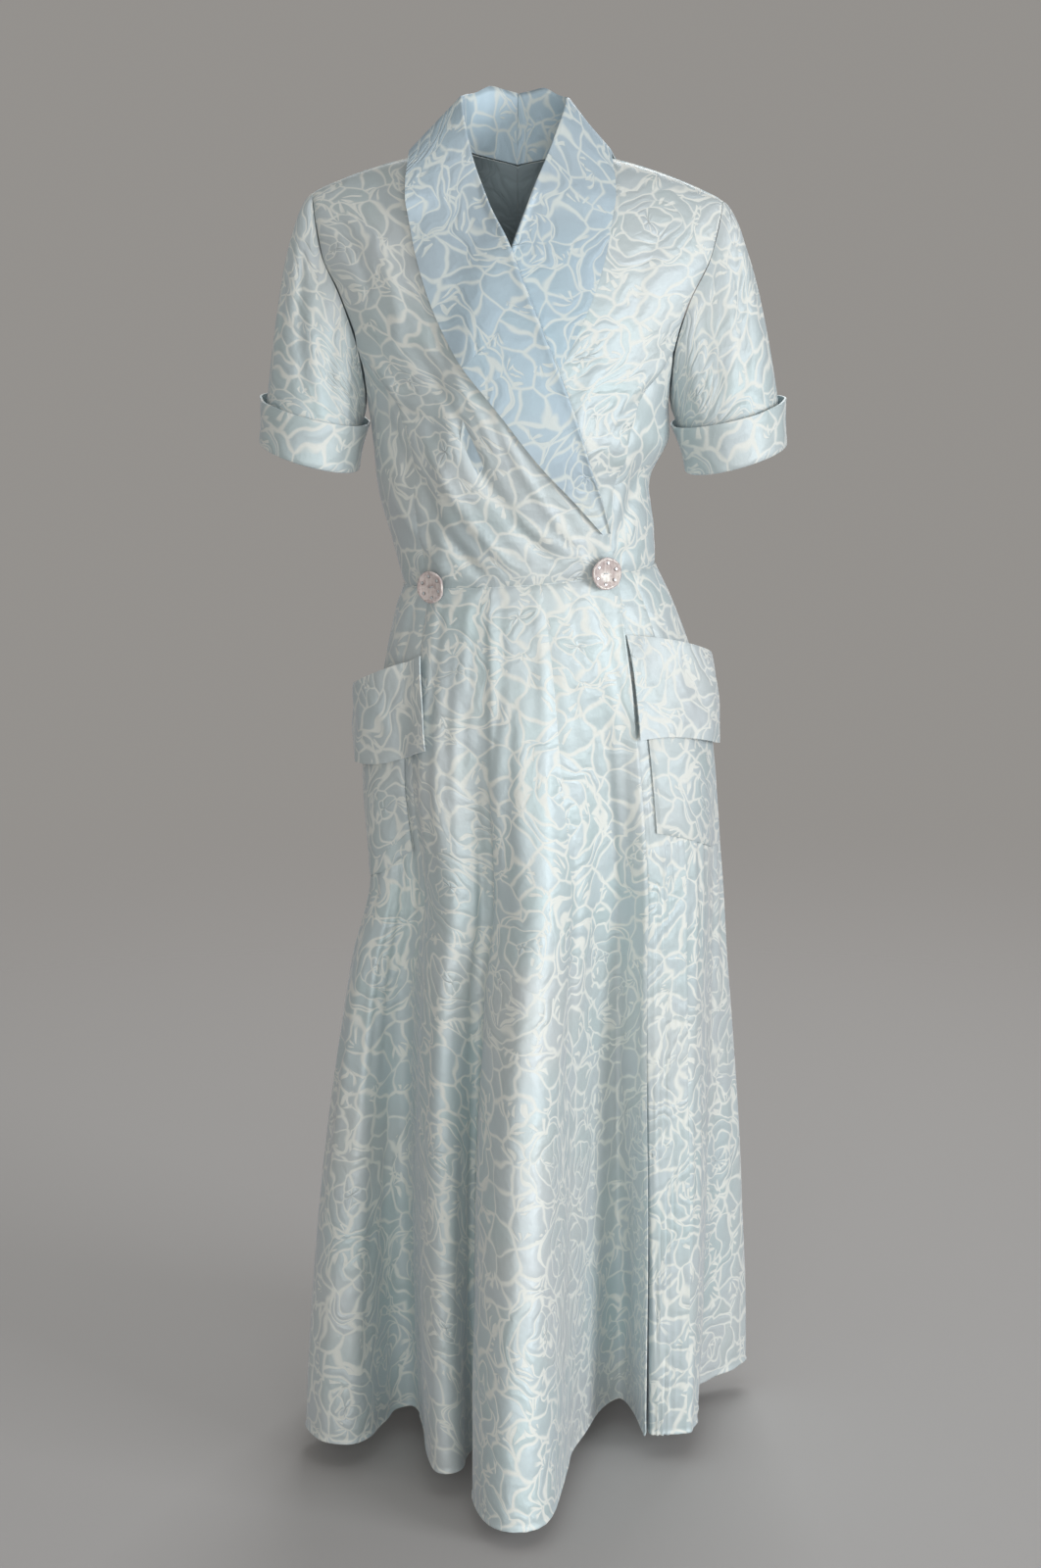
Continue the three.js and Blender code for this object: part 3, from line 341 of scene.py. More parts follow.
# The sleeves, and the bodice panels between their seams.
def armholePlace(sign, turn):
    key = "angleRight" if sign < 0 else "angleLeft"
    return along(armhole, "turn", "level", turn), sign * along(armhole, "turn", key, turn)


sleeveRuns = {  # how a sleeve sets off and arrives: over the shoulder, and under the arm
    "leaveX": (95, 22), "leaveZ": (-80, -55), "arriveX": (22, 6), "arriveZ": (-190, -60),
}
sleeveHems = {
    -1: {"x": -216, "y": -2, "z": -313, "halfWidth": 48, "halfDepth": 56, "slope": 14, "dip": 6},
    1: {"x": 226.5, "y": -2, "z": -315, "halfWidth": 49, "halfDepth": 56, "slope": 14, "dip": 6},
}


def sleevePoint(sign, turn, down):
    turn, down = np.broadcast_arrays(np.asarray(turn, float), np.asarray(down, float))
    turn = np.mod(turn, 1)
    level, angle = armholePlace(sign, turn)
    start = torsoPoint(level, angle)
    hem = sleeveHems[sign]
    a = 2 * np.pi * turn
    end = xyz(
        hem["x"] + sign * hem["halfWidth"] * np.cos(a),
        hem["y"] - hem["halfDepth"] * np.sin(a),
        hem["z"] + hem["slope"] * np.cos(a) - hem["dip"] * np.sin(a),
    )
    under = (1 - np.cos(a)) / 2
    run = {key: lerp(over, low, under) for key, (over, low) in sleeveRuns.items()}
    leave = xyz(sign * run["leaveX"], -body["sleeveSpread"] * np.sin(a), run["leaveZ"])
    arrive = xyz(sign * run["arriveX"], 0 * a, run["arriveZ"])
    return hermite(start, end, leave, arrive, down[..., None])


def sleeveOut(sign, turn, down):
    def point(t, d):
        return sleevePoint(sign, t, d)

    inside = np.clip(down, 0.02, 0.98)
    return sign * outOf(point, np.asarray(turn, float), inside, 0.004, 0.01)


def placeBetween(left, right, q, r, top=None):  # a panel's levels and angles, between its edges
    places = []
    for k in (0, 1):
        value = lerp(left(r)[k][None, :], right(r)[k][None, :], q[:, None])
        if top:
            leftTip, rightTip = left(np.ones(1))[k], right(np.ones(1))[k]
            value = value + r[None, :] * (top(q)[k] - lerp(leftTip, rightTip, q))[:, None]
        places.append(value)
    return places


def princessPlace(sign, up):
    level, angle = armholePlace(sign, body["princessTurn"])
    rows = {key: column.copy() for key, column in princess[sign].items()}
    rows["up"] = np.append(rows["up"], 1)
    rows["level"] = np.append(rows["level"], level)
    rows["angle"] = np.append(rows["angle"], angle)
    return along(rows, "up", "level", up), along(rows, "up", "angle", up)


def frontSide(sign, r):
    share = body["princessShare"]
    lowLevel, lowAngle = princessPlace(sign, np.minimum(r / share, 1))
    turn = lerp(body["princessTurn"], 0, np.clip((r - share) / (1 - share), 0, 1))
    highLevel, highAngle = armholePlace(sign, turn)
    return np.where(r <= share, lowLevel, highLevel), np.where(r <= share, lowAngle, highAngle)


def rollPlace(sign, up):
    rows = roll[sign]
    level, angle = placeOn(False, along(rows, "up", "x", up), along(rows, "up", "z", up))
    topAngle = np.degrees(np.arcsin(rows["x"][-1] / torso["halfWidth"][-1]))
    near = smooth((up - 0.94) / 0.06)
    return lerp(level, 1, near), lerp(angle, topAngle, near)


def frontEdge(sign, waistAngle, r):
    share = body["rollShare"]
    level, angle = rollPlace(sign, np.clip((r - share) / (1 - share), 0, 1))
    startLevel, startAngle = rollPlace(sign, np.zeros(1))
    t = np.minimum(r / share, 1)
    isLow = r < share
    return np.where(isLow, startLevel * t, level), np.where(isLow, lerp(waistAngle, startAngle, t), angle)


def neckPlace(angle):
    inNeck = np.maximum(0, 1 - np.abs(angle - 180) / (180 - neck["angle"][0]))
    return 1 - body["neckDip"] * np.sqrt(inNeck), angle


def frontPlaces(sign, q, r):
    waistAngle = body["wrapCorner"] if sign < 0 else body["wrapEnd"]

    def side(at):
        return frontSide(sign, at)

    def edge(at):
        return frontEdge(sign, waistAngle, at)

    left, right = (side, edge) if sign < 0 else (edge, side)
    return placeBetween(left, right, q, r)


def sideFrontPlaces(sign, q, r):
    def sideSeam(at):
        return body["underArm"] * at, sign * 90 + 0 * at

    def princessSeam(at):
        return princessPlace(sign, at)

    def top(at):
        return armholePlace(sign, lerp(0.5, body["princessTurn"], at if sign < 0 else 1 - at))

    left, right = (sideSeam, princessSeam) if sign < 0 else (princessSeam, sideSeam)
    return placeBetween(left, right, q, r, top)


def backPlaces(q, r):
    def edge(sign, at):
        share = body["underArm"]
        level, angle = armholePlace(sign, lerp(0.5, 1, np.clip((at - share) / (1 - share), 0, 1)))
        angle = angle * sign
        return np.where(at <= share, at, level), np.where(at <= share, 90, angle)

    def left(at):
        return edge(1, at)

    def right(at):
        level, angle = edge(-1, at)
        return level, 360 - angle

    tips = left(np.ones(1))[1][0], right(np.ones(1))[1][0]

    def top(at):
        return neckPlace(lerp(tips[0], tips[1], at))

    return placeBetween(left, right, q, r, top)


# Creases are soft troughs and ridges laid one by one.
creaseLook = {"runOut": 0.12, "fade": 0.35, "taper": 0.45}  # shares of a crease's length and width
edgeRoll = {"high": 0.9, "at": 1.2, "wide": 1.5, "groove": 0.5, "grooveAt": 5.5, "grooveWide": 2.2}
pucker = {"even": 0.7, "high": 0.35, "pitch": 3.1, "beat": 17, "reach": 2.2}


def crease(place, other, rows):  # height of all creases at two coordinates in millimetres
    height = np.zeros(np.broadcast(place, other).shape)
    runOut, ramp = creaseLook["runOut"], creaseLook["fade"]
    columns = (rows[key] for key in ("x0", "z0", "x1", "z1", "width", "deep", "bend"))
    for x0, z0, x1, z1, width, deep, bend in zip(*columns):
        dx, dz = x1 - x0, z1 - z0
        length = math.hypot(dx, dz)
        t = ((place - x0) * dx + (other - z0) * dz) / length**2
        bow = bend * 4 * np.clip(t, 0, 1) * (1 - np.clip(t, 0, 1))
        off = ((place - x0) * dz - (other - z0) * dx) / length - bow
        fade = smooth((t + runOut) / ramp) * smooth((1 + runOut - t) / ramp)
        taper = 1 - creaseLook["taper"] * np.clip(t, 0, 1)
        height += deep * fade * np.exp(-((off / (width * taper)) ** 2))
    return height


def rolledEdge(distance):  # a turned edge stands up in a thin roll, with a groove beside it
    ridge = np.exp(-(((distance - edgeRoll["at"]) / edgeRoll["wide"]) ** 2))
    groove = np.exp(-(((distance - edgeRoll["grooveAt"]) / edgeRoll["grooveWide"]) ** 2))
    return edgeRoll["high"] * ridge - edgeRoll["groove"] * groove


def seamDip(distance, place, wide=3.6, deep=2.0, beat=11.0):  # the cloth pulls in beside a seam, unevenly
    uneven = np.sin(place / beat) * np.cos(place / (beat * 2.3) + 1.3)
    uneven = pucker["even"] + (1 - pucker["even"]) * uneven
    small = np.sin(place / pucker["pitch"] + 2 * np.sin(place / pucker["beat"]))
    small = pucker["high"] * small * np.exp(-((distance / (wide * pucker["reach"])) ** 2))
    return -deep * uneven * np.exp(-((distance / wide) ** 2)) + small * np.clip(distance / wide, 0, 1)


def meshOf(bm, name):
    mesh = bpy.data.meshes.new(name)
    bm.to_mesh(mesh)
    bm.free()
    return mesh


def placed(name, data):  # a new object in the scene
    made = bpy.data.objects.new(name, data)
    bpy.context.scene.collection.objects.link(made)
    return made


# Each piece of cloth is made from one grid of points.
def measured(points):  # arc lengths across and down a grid of points
    across = np.linalg.norm(np.diff(points, axis=0), axis=-1)
    down = np.linalg.norm(np.diff(points, axis=1), axis=-1)
    across = np.concatenate([np.zeros((1, across.shape[1])), np.cumsum(across, axis=0)])
    down = np.concatenate([np.zeros((down.shape[0], 1)), np.cumsum(down, axis=1)], axis=1)
    return across, down


def fromEdges(points):  # distances in millimetres from the left, right, bottom and top edges of a grid
    across, down = measured(points)
    return across, across[-1:, :] - across, down, down[:, -1:] - down


def clothPiece(name, points, look):
    columns, rows = points.shape[0] - 1, points.shape[1] - 1
    across, down = measured(points)
    middle = round(columns * look.get("grain", 0.5))
    if look.get("isBent"):  # a band whose two long edges differ, such as a collar
        line = across[:, rows // 2]
        u = np.broadcast_to(line[:, None] - line[middle], across.shape)
        v = down
    else:
        u = across - across[middle : middle + 1, :]
        v = np.broadcast_to(down[middle : middle + 1, :], u.shape)
    u = u * look.get("mirror", 1) + look.get("shiftU", 0)
    v = v + look.get("shiftV", 0)
    bm = bmesh.new()
    bm.loops.layers.uv.new("cloth")
    bmesh.ops.create_grid(bm, x_segments=columns, y_segments=rows, size=1)
    mesh = meshOf(bm, name)
    flat = np.empty(len(mesh.vertices) * 3)
    mesh.vertices.foreach_get("co", flat)
    flat = flat.reshape(-1, 3)
    i = np.rint((flat[:, 0] + 1) / 2 * columns).astype(int)
    j = np.rint((flat[:, 1] + 1) / 2 * rows).astype(int)
    mesh.vertices.foreach_set("co", (points[i, j] * mm).ravel())
    corner = np.empty(len(mesh.loops), int)
    mesh.loops.foreach_get("vertex_index", corner)
    uv = np.stack([u[i, j][corner], v[i, j][corner]], axis=-1) * mm
    mesh.uv_layers["cloth"].data.foreach_set("uv", uv.ravel())
    if look.get("isRing"):
        bm = bmesh.new()
        bm.from_mesh(mesh)
        bmesh.ops.remove_doubles(bm, verts=bm.verts, dist=body["weld"] * mm)
        bm.to_mesh(mesh)
        bm.free()
    mesh.update()
    mesh.shade_smooth()
    edges = {}
    for polygon in mesh.polygons:
        for key in polygon.edge_keys:
            edges[key] = edges.get(key, 0) + 1
    sharp = mesh.attributes.new("sharp_edge", "BOOLEAN", "EDGE")
    sharp.data.foreach_set("value", [edges[edge.key] == 1 for edge in mesh.edges])
    piece = placed(f"{name}_cloth", mesh)
    wall = piece.modifiers.new("cloth", "SOLIDIFY")
    wall.thickness = look.get("thick", body["cloth"]) * mm
    wall.offset = -1
    wall.use_even_offset = False
    mesh.materials.append(look["material"])
    mesh.materials.append(reverse)
    wall.material_offset = 1
    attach(piece, "root")
    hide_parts(name)
    wide, long = across[-1].max() * mm, down.max() * mm
    area = float(sum(polygon.area for polygon in mesh.polygons))
    print(f"{name}: {len(mesh.polygons)} faces, {wide:.3f} x {long:.3f} m, {area:.4f} m2")


def gridSteps(width, step, edges=(), close=(1.0, 2.4, 4.4)):  # even shares, with a few more beside an edge
    shares = np.linspace(0, 1, max(4, round(width / step)) + 1)
    extra = [c / width if edge == 0 else 1 - c / width for edge in edges for c in close]
    return np.unique(np.concatenate([shares, extra]))


# Materials. An input is a value or another node's output.
def feed(tree, node, inputs):
    for key, value in inputs.items():
        if isinstance(value, bpy.types.NodeSocket):
            tree.links.new(value, node.inputs[key])
        else:
            node.inputs[key].default_value = value


def wire(tree, kind, inputs=None, **settings):
    made = tree.nodes.new(kind)
    for key, value in settings.items():
        setattr(made, key, value)
    feed(tree, made, inputs or {})
    return made


def newMaterial(name):
    material = bpy.data.materials.new(name)
    material.use_nodes = True
    return material, material.node_tree, material.node_tree.nodes["Principled BSDF"]


def sums(tree, operation, *values):
    return wire(tree, "ShaderNodeMath", dict(enumerate(values)), operation=operation).outputs[0]


def times(tree, first, *others):
    for other in others:
        first = sums(tree, "MULTIPLY", first, other)
    return first


def vectors(tree, operation, *values):
    made = wire(tree, "ShaderNodeVectorMath", dict(enumerate(values)), operation=operation)
    return made.outputs["Value" if operation == "LENGTH" else "Vector"]


def scaled(tree, vector, share):
    made = wire(tree, "ShaderNodeVectorMath", {0: vector, "Scale": share}, operation="SCALE")
    return made.outputs["Vector"]


def noise(tree, place, scale, detail, dimensions="3D", **inputs):
    inputs = {"Vector": place, "Scale": scale, "Detail": detail, **inputs}
    return wire(tree, "ShaderNodeTexNoise", inputs, noise_dimensions=dimensions).outputs


def cells(tree, place, scale, jitter, feature="F1", **inputs):
    inputs = {"Vector": place, "Scale": scale, "Randomness": jitter, **inputs}
    return wire(tree, "ShaderNodeTexVoronoi", inputs, voronoi_dimensions="2D", feature=feature).outputs


def step01(tree, value, low, high):  # 0 at low, 1 at high, smooth between
    inputs = {"Value": value, "From Min": low, "From Max": high}
    return wire(tree, "ShaderNodeMapRange", inputs, interpolation_type="SMOOTHSTEP").outputs[0]


def blendNumbers(tree, share, a, b):
    return wire(tree, "ShaderNodeMix", {0: share, 2: a, 3: b}, data_type="FLOAT").outputs[0]


def blendVectors(tree, share, a, b):
    return wire(tree, "ShaderNodeMix", {0: share, 4: a, 5: b}, data_type="VECTOR").outputs[1]


def blendColours(tree, share, a, b):
    return wire(tree, "ShaderNodeMix", {0: share, 6: a, 7: b}, data_type="RGBA").outputs[2]


figureLook = {  # metres of cloth, unless a note says otherwise
    "warpScale": 25.0, "warp": 0.0150, "flowerSpacing": 0.112, "flowerRadius": 0.060, "flowerJitter": 0.75,
    "flowerLeast": 0.62, "flowerMore": 0.42, "scallops": 3.5, "scallopDeep": 0.16,  # shares of the radius
    "outline": (0.0016, 0.0008), "besideRim": 0.007,
    "cell": 0.028, "ring": 0.0140, "petals": 2.5,  # petals to half a turn
    "cellJitter": 0.9, "line": 0.000, "lineSoft": 0.100, "lineSwell": 0.075, "puffWide": 0.42,  # in cells
    "starLow": 0.060, "starHigh": 0.165, "smoothness": 0.5,
    "combSpacing": 0.033, "combReach": 0.0165, "combTeeth": 8.5, "combSpread": 1.2, "combTaper": 0.45,
    "combRoot": (0.28, 0.42), "combTip": (1.25, 0.95), "combShare": (0.25, 0.3), "combRelief": 0.25,
}
fullTurn = 6.283


def polar(tree, cell, point):  # distance from a cell's centre, angle from its chance axis, and its chances
    chance = wire(tree, "ShaderNodeSeparateColor", {0: cell["Color"]}).outputs
    local = vectors(tree, "SUBTRACT", point, cell["Position"])
    split = wire(tree, "ShaderNodeSeparateXYZ", {0: local}).outputs
    turn = sums(tree, "ARCTAN2", split[1], split[0])
    turn = sums(tree, "ADD", turn, times(tree, chance[0], fullTurn))
    return vectors(tree, "LENGTH", local), sums(tree, "ARCCOSINE", sums(tree, "COSINE", turn)), chance


def makeFigure(look):
    tree = bpy.data.node_groups.new("brocade figure", "ShaderNodeTree")
    for name in ("Lines", "Relief", "Tone"):
        tree.interface.new_socket(name, in_out="OUTPUT", socket_type="NodeSocketFloat")
    end = tree.nodes.new("NodeGroupOutput")
    flat = wire(tree, "ShaderNodeUVMap", uv_map="cloth").outputs[0]
    push = noise(tree, flat, look["warpScale"], 1.2, "2D")["Color"]
    push = scaled(tree, vectors(tree, "SUBTRACT", push, (0.5, 0.5, 0.5)), look["warp"] * 2)
    point = vectors(tree, "ADD", flat, push)

    # round flowers, each with rings of petals that mirror about its own axis
    flower = cells(tree, point, 1 / look["flowerSpacing"], look["flowerJitter"])
    reach, folded, chance = polar(tree, flower, point)
    scallop = sums(tree, "ABSOLUTE", sums(tree, "SINE", times(tree, folded, look["scallops"])))
    size = sums(tree, "ADD", look["flowerLeast"], times(tree, chance[1], look["flowerMore"]))
    rim = sums(tree, "ADD", times(tree, scallop, look["scallopDeep"]), 0.9)
    rim = times(tree, size, look["flowerRadius"], rim)
    gap = sums(tree, "SUBTRACT", reach, rim)
    isFlower = sums(tree, "LESS_THAN", gap, 0.0)
    rings = sums(tree, "ADD", sums(tree, "DIVIDE", reach, look["ring"]), times(tree, chance[2], 40))
    petals = times(tree, folded, look["petals"] / math.pi)
    petalPlace = wire(tree, "ShaderNodeCombineXYZ", {0: petals, 1: rings}).outputs[0]
    place = blendVectors(tree, isFlower, scaled(tree, point, 1 / look["cell"]), petalPlace)

    # cells between lines that swell where they meet
    jitter = look["cellJitter"]
    near = cells(tree, place, 1.0, jitter)
    edge = cells(tree, place, 1.0, jitter, "DISTANCE_TO_EDGE")["Distance"]
    soft = cells(tree, place, 1.0, jitter, "SMOOTH_F1", Smoothness=look["smoothness"])["Distance"]
    swell = noise(tree, place, 0.7, 0.0, "2D")["Fac"]
    width = times(tree, sums(tree, "SUBTRACT", swell, 0.35), look["lineSwell"])
    width = sums(tree, "ADD", look["line"], width)
    thin = step01(tree, sums(tree, "SUBTRACT", edge, width), look["lineSoft"], 0.0)
    blot = step01(tree, sums(tree, "SUBTRACT", near["Distance"], soft), look["starLow"], look["starHigh"])
    rimGap = sums(tree, "ABSOLUTE", gap)
    outline = step01(tree, rimGap, *look["outline"])

    # combs of short strokes that fan out inside the petals
    comb = cells(tree, point, 1 / look["combSpacing"], 1.0)
    combReach, fan, chance = polar(tree, comb, point)
    teeth = sums(tree, "COSINE", times(tree, fan, look["combTeeth"]))
    taper = sums(tree, "DIVIDE", combReach, look["combReach"])
    stroke = times(
        tree, step01(tree, sums(tree, "SUBTRACT", teeth, times(tree, taper, look["combTaper"])), -0.15, 0.3),
        step01(tree, taper, *look["combRoot"]), step01(tree, taper, *look["combTip"]),
        step01(tree, fan, look["combSpread"], look["combSpread"] * 0.85),
        step01(tree, chance[1], *look["combShare"]),
    )

    lines = sums(tree, "MAXIMUM", sums(tree, "MAXIMUM", thin, blot), sums(tree, "MAXIMUM", outline, stroke))
    puff = times(tree, step01(tree, edge, 0.0, look["puffWide"]), step01(tree, rimGap, 0, look["besideRim"]))
    feed(tree, end, {
        "Lines": lines, "Relief": sums(tree, "SUBTRACT", puff, times(tree, stroke, look["combRelief"])),
        "Tone": wire(tree, "ShaderNodeSeparateColor", {0: near["Color"]}).outputs[0],
    })
    return tree


figure = makeFigure(figureLook)


def makeBrocade(name, look):
    material, tree, shader = newMaterial(name)
    cloth = wire(tree, "ShaderNodeGroup", node_tree=figure).outputs
    space = wire(tree, "ShaderNodeTexCoord").outputs["Object"]
    cloud = noise(tree, space, 5.0, 3.0)["Fac"]
    ground = blendColours(tree, step01(tree, cloud, 0.35, 0.65), look["groundCool"], look["groundGrey"])
    ground = blendColours(tree, times(tree, cloth["Tone"], look["tones"]), ground, look["groundPale"])
    colour = blendColours(tree, cloth["Lines"], ground, look["line"])
    for stain in look["stains"]:
        away = vectors(tree, "LENGTH", vectors(tree, "SUBTRACT", space, stain["place"]))
        rough = times(tree, noise(tree, space, 60.0, 4.0)["Fac"], stain["reach"])
        soft = step01(tree, sums(tree, "ADD", away, rough), stain["reach"] * 1.6, stain["reach"] * 0.4)
        colour = blendColours(tree, times(tree, soft, stain["strength"]), colour, stain["colour"])
    threads = wire(tree, "ShaderNodeUVMap", uv_map="cloth").outputs[0]
    ribs = wire(tree, "ShaderNodeTexWave", {
        "Vector": threads, "Scale": look["ribs"], "Distortion": 1.5, "Detail": 1.0,
    }, bands_direction="DIAGONAL").outputs["Fac"]
    crumple = noise(tree, threads, look["crumpleScale"], 2.0, "2D")["Fac"]
    fine = sums(tree, "ADD", times(tree, ribs, look["ribHeight"]), times(tree, crumple, look["crumple"]))
    height = sums(tree, "ADD", times(tree, cloth["Relief"], look["puff"]), fine)
    bump = wire(tree, "ShaderNodeBump", {"Height": height, "Strength": 1.0, "Distance": 1.0}).outputs[0]
    feed(tree, shader, {
        "Base Color": colour,
        "Roughness": blendNumbers(tree, cloth["Lines"], look["groundRough"], look["lineRough"]),
        "Metallic": blendNumbers(tree, cloth["Lines"], look["satin"], 0.0),
        "Normal": bump,
        "Tangent": wire(tree, "ShaderNodeTangent", direction_type="UV_MAP", uv_map="cloth").outputs[0],
        "Specular IOR Level": look["specular"], "Anisotropic": look["anisotropy"],
        "Sheen Weight": look["sheen"], "Sheen Roughness": 0.35, "Sheen Tint": look["sheenTint"],
    })
    return material


satinLook = {
    "groundCool": (0.50, 0.61, 0.62, 1), "groundGrey": (0.55, 0.61, 0.61, 1),
    "groundPale": (0.59, 0.65, 0.70, 1), "line": (0.73, 0.765, 0.725, 1),
    "groundRough": 0.52, "lineRough": 0.58, "satin": 0.22, "specular": 0.65,
    "sheen": 0.3, "sheenTint": (0.86, 0.88, 1.0, 1), "anisotropy": 0.35, "tones": 0.35,
    "ribs": 900.0, "ribHeight": 0.00002, "puff": 0.0005, "crumpleScale": 95.0, "crumple": 0.0004,
    "stains": (
        {"place": (0.200, -0.10, -0.770), "reach": 0.035, "strength": 0.10,
         "colour": (0.62, 0.56, 0.40, 1)},
    ),
}
collarLook = dict(
    satinLook, groundCool=(0.41, 0.54, 0.61, 1), groundGrey=(0.43, 0.53, 0.59, 1),
    groundPale=(0.46, 0.58, 0.68, 1), line=(0.62, 0.69, 0.68, 1),
    stains=(
        {"place": (0.075, -0.120, -0.372), "reach": 0.05, "strength": 0.38, "colour": (0.66, 0.62, 0.46, 1)},
    ),
)
reverseLook = dict(
    satinLook, groundCool=(0.42, 0.52, 0.55, 1), groundGrey=(0.43, 0.51, 0.53, 1),
    groundPale=(0.46, 0.55, 0.59, 1), line=(0.38, 0.47, 0.50, 1), groundRough=0.7, lineRough=0.5,
    satin=0.0, specular=0.3, sheen=0.1, stains=(),
)
# A copy of the satin painted about five per cent darker, as painted shade, for the bodice, sleeves, cuffs
# and pockets; the skirt keeps the lighter colours
brocade = makeBrocade("brocade", dict(
    satinLook, groundCool=(0.475, 0.58, 0.59, 1), groundGrey=(0.52, 0.58, 0.585, 1),
    groundPale=(0.56, 0.62, 0.67, 1), line=(0.70, 0.735, 0.70, 1),
))
skirtBrocade = makeBrocade("skirt brocade", dict(satinLook, groundRough=0.5))
collarBrocade = makeBrocade("collar brocade", collarLook)
reverse = makeBrocade("brocade reverse", reverseLook)
print("materials ready")


# The bodice.
bodice = {
    "step": 4.5, "creaseShare": 1.75, "creaseLeast": 0.35, "calmBelow": 0.06, "calmAbove": 0.08,
    "height": 430, "sideHeight": 180, "sideWide": 90, "rightWide": 230, "leftWide": 170, "backWide": 220,
}
frontCreases = table(  # on the front of the bodice, by x and height
    "x0 z0 x1 z1 width deep bend",
    (-118, -300, -30, -432, 9, -2.6, 8),
    (-96, -282, 8, -430, 7, 2.2, 10),
    (-60, -268, 44, -424, 9, -2.4, 10),
    (-22, -262, 62, -404, 6, 1.8, 6),
    (-128, -352, -58, -436, 6, 1.8, 4),
    (-140, -258, -112, -352, 8, -2.2, -5),
    (-20, -352, 70, -412, 5, 1.3, 4),
    (-150, -236, -96, -268, 8, -1.8, 6),
    (-166, -196, -118, -262, 9, 1.8, -6),
    (-64, -392, -26, -436, 5, -1.4, 2),
    (18, -408, 36, -437, 5, -1.2, 1),
    (60, -392, 76, -434, 5, 1.2, 2),
    (140, -232, 96, -274, 8, -1.8, -6),
    (132, -286, 98, -404, 8, -2.0, -6),
    (112, -300, 92, -384, 6, 1.5, -4),
    (118, -404, 84, -432, 6, -1.6, 2),
    (88, -214, 62, -296, 9, 1.6, 8),
    (-150, -84, -120, -190, 12, 1.4, -8),
    (146, -80, 118, -186, 12, -1.4, 8),
    (-186, -70, -150, -150, 9, -1.3, -5),
    (-112, -196, -34, -330, 7, -1.7, -9),
    (-98, -188, -16, -310, 6, 1.3, -8),
    (-86, -176, -58, -236, 6, -1.2, 4),
    (44, -396, 96, -424, 5, -1.3, -3),
    (104, -250, 84, -330, 6, -1.2, 5),
    (150, -210, 116, -246, 6, 1.3, -4),
    (96, -340, 78, -414, 5, 1.1, 2),
)
backCreases = table(
    "x0 z0 x1 z1 width deep bend",
    (-120, -250, -20, -420, 9, -2.2, -9),
    (112, -262, 30, -424, 9, -2.4, 8),
    (-64, -330, 6, -434, 7, 1.7, -4),
    (70, -340, 10, -432, 7, 1.6, 5),
    (-134, -318, -96, -430, 7, -1.8, 4),
    (140, -322, 112, -428, 7, -1.7, -4),
    (-150, -130, -96, -236, 11, 1.6, 8),
    (152, -126, 92, -240, 11, 1.5, -9),
    (-30, -80, -36, -210, 14, -1.2, 5),
    (34, -84, 44, -200, 14, -1.1, -5),
    (-4, -380, 2, -434, 5, -1.3, 1),
)


def bodiceWall(level, angle, lift, side, seams):  # points of a bodice piece, with its creases and seams
    points = torsoPoint(level, angle)
    rows = backCreases if side == "back" else frontCreases
    height = crease(points[..., 0], points[..., 2], rows) * bodice["creaseShare"]
    settle = smooth(level / bodice["calmBelow"]) * smooth((1 - level) / bodice["calmAbove"])
    height = height * lerp(bodice["creaseLeast"], 1, settle)
    for distance, place in seams:
        height = height + seamDip(distance, place)
    return points + torsoOut(level, angle) * (height + lift)[..., None]


def shapeBodice(name, places, lift, side, seams, look):
    level, angle = places
    left, right, bottom, top = fromEdges(torsoPoint(level, angle))
    seam = {"left": (left, bottom), "right": (right, bottom), "bottom": (bottom, left), "top": (top, left)}
    points = bodiceWall(level, angle, lift(level, angle), side, [seam[edge] for edge in seams])
    clothPiece(name, points, look)


def flatLift(level, angle):
    return 0 * level + 0 * angle


step = bodice["step"]
up = gridSteps(bodice["height"], step)
shapeBodice(
    "bodice_right_front", frontPlaces(-1, gridSteps(bodice["rightWide"], step, edges=(1,)), up),
    rightFrontLift, "front", ("left", "bottom", "top"), {"material": brocade, "shiftU": 210, "shiftV": 130},
)
shapeBodice(
    "bodice_left_front", frontPlaces(1, gridSteps(bodice["leftWide"], step, edges=(0,)), up),
    flatLift, "front", ("right", "bottom", "top"), {"material": brocade, "shiftU": -320, "shiftV": 95},
)
for name, sign in (("right", -1), ("left", 1)):
    q, r = gridSteps(bodice["sideWide"], step), gridSteps(bodice["sideHeight"], step)
    shapeBodice(
        f"bodice_{name}_side_front", sideFrontPlaces(sign, q, r), flatLift, "front",
        ("left", "right", "bottom", "top"), {"material": brocade, "shiftU": 470 * sign, "shiftV": 40},
    )
for name, start, end, grain, mirror in (("left", 0, 0.5, 1, 1), ("right", 0.5, 1, 0, -1)):
    q = lerp(start, end, gridSteps(bodice["backWide"], step))
    shapeBodice(
        f"bodice_back_{name}", backPlaces(q, up), flatLift, "back", ("left", "right", "bottom"),
        {"material": brocade, "grain": grain, "mirror": mirror, "shiftU": 30, "shiftV": 700},
    )
print("bodice done")


# The sleeves and their turned-back cuffs.
sleeve = {
    "step": 5.0, "around": 330, "length": 210, "drift": 7, "creaseLeast": 0.4, "creaseMore": 1.1,
    "cuffHeight": 46, "cuffThick": 2.0, "cuffRows": 11, "turnRows": 5, "turnOut": 3.4, "turnDrop": 1.5,
}
sleeveCreases = table(  # by millimetres round the arm from the shoulder's tip, and down from the armhole
    "x0 z0 x1 z1 width deep bend",
    (46, 20, 70, 120, 7, -1.8, 6),
    (84, 18, 96, 110, 8, 1.6, -5),
    (118, 8, 104, 92, 7, -2.0, 5),
    (150, 20, 130, 80, 6, 1.4, 3),
    (-40, 24, -66, 130, 8, -1.5, -6),
    (-84, 16, -96, 104, 8, 1.5, 5),
    (-120, 10, -100, 90, 7, -1.7, -4),
    (10, 40, 22, 150, 10, -1.0, 5),
    (-14, 60, -30, 170, 10, 1.0, -4),
)
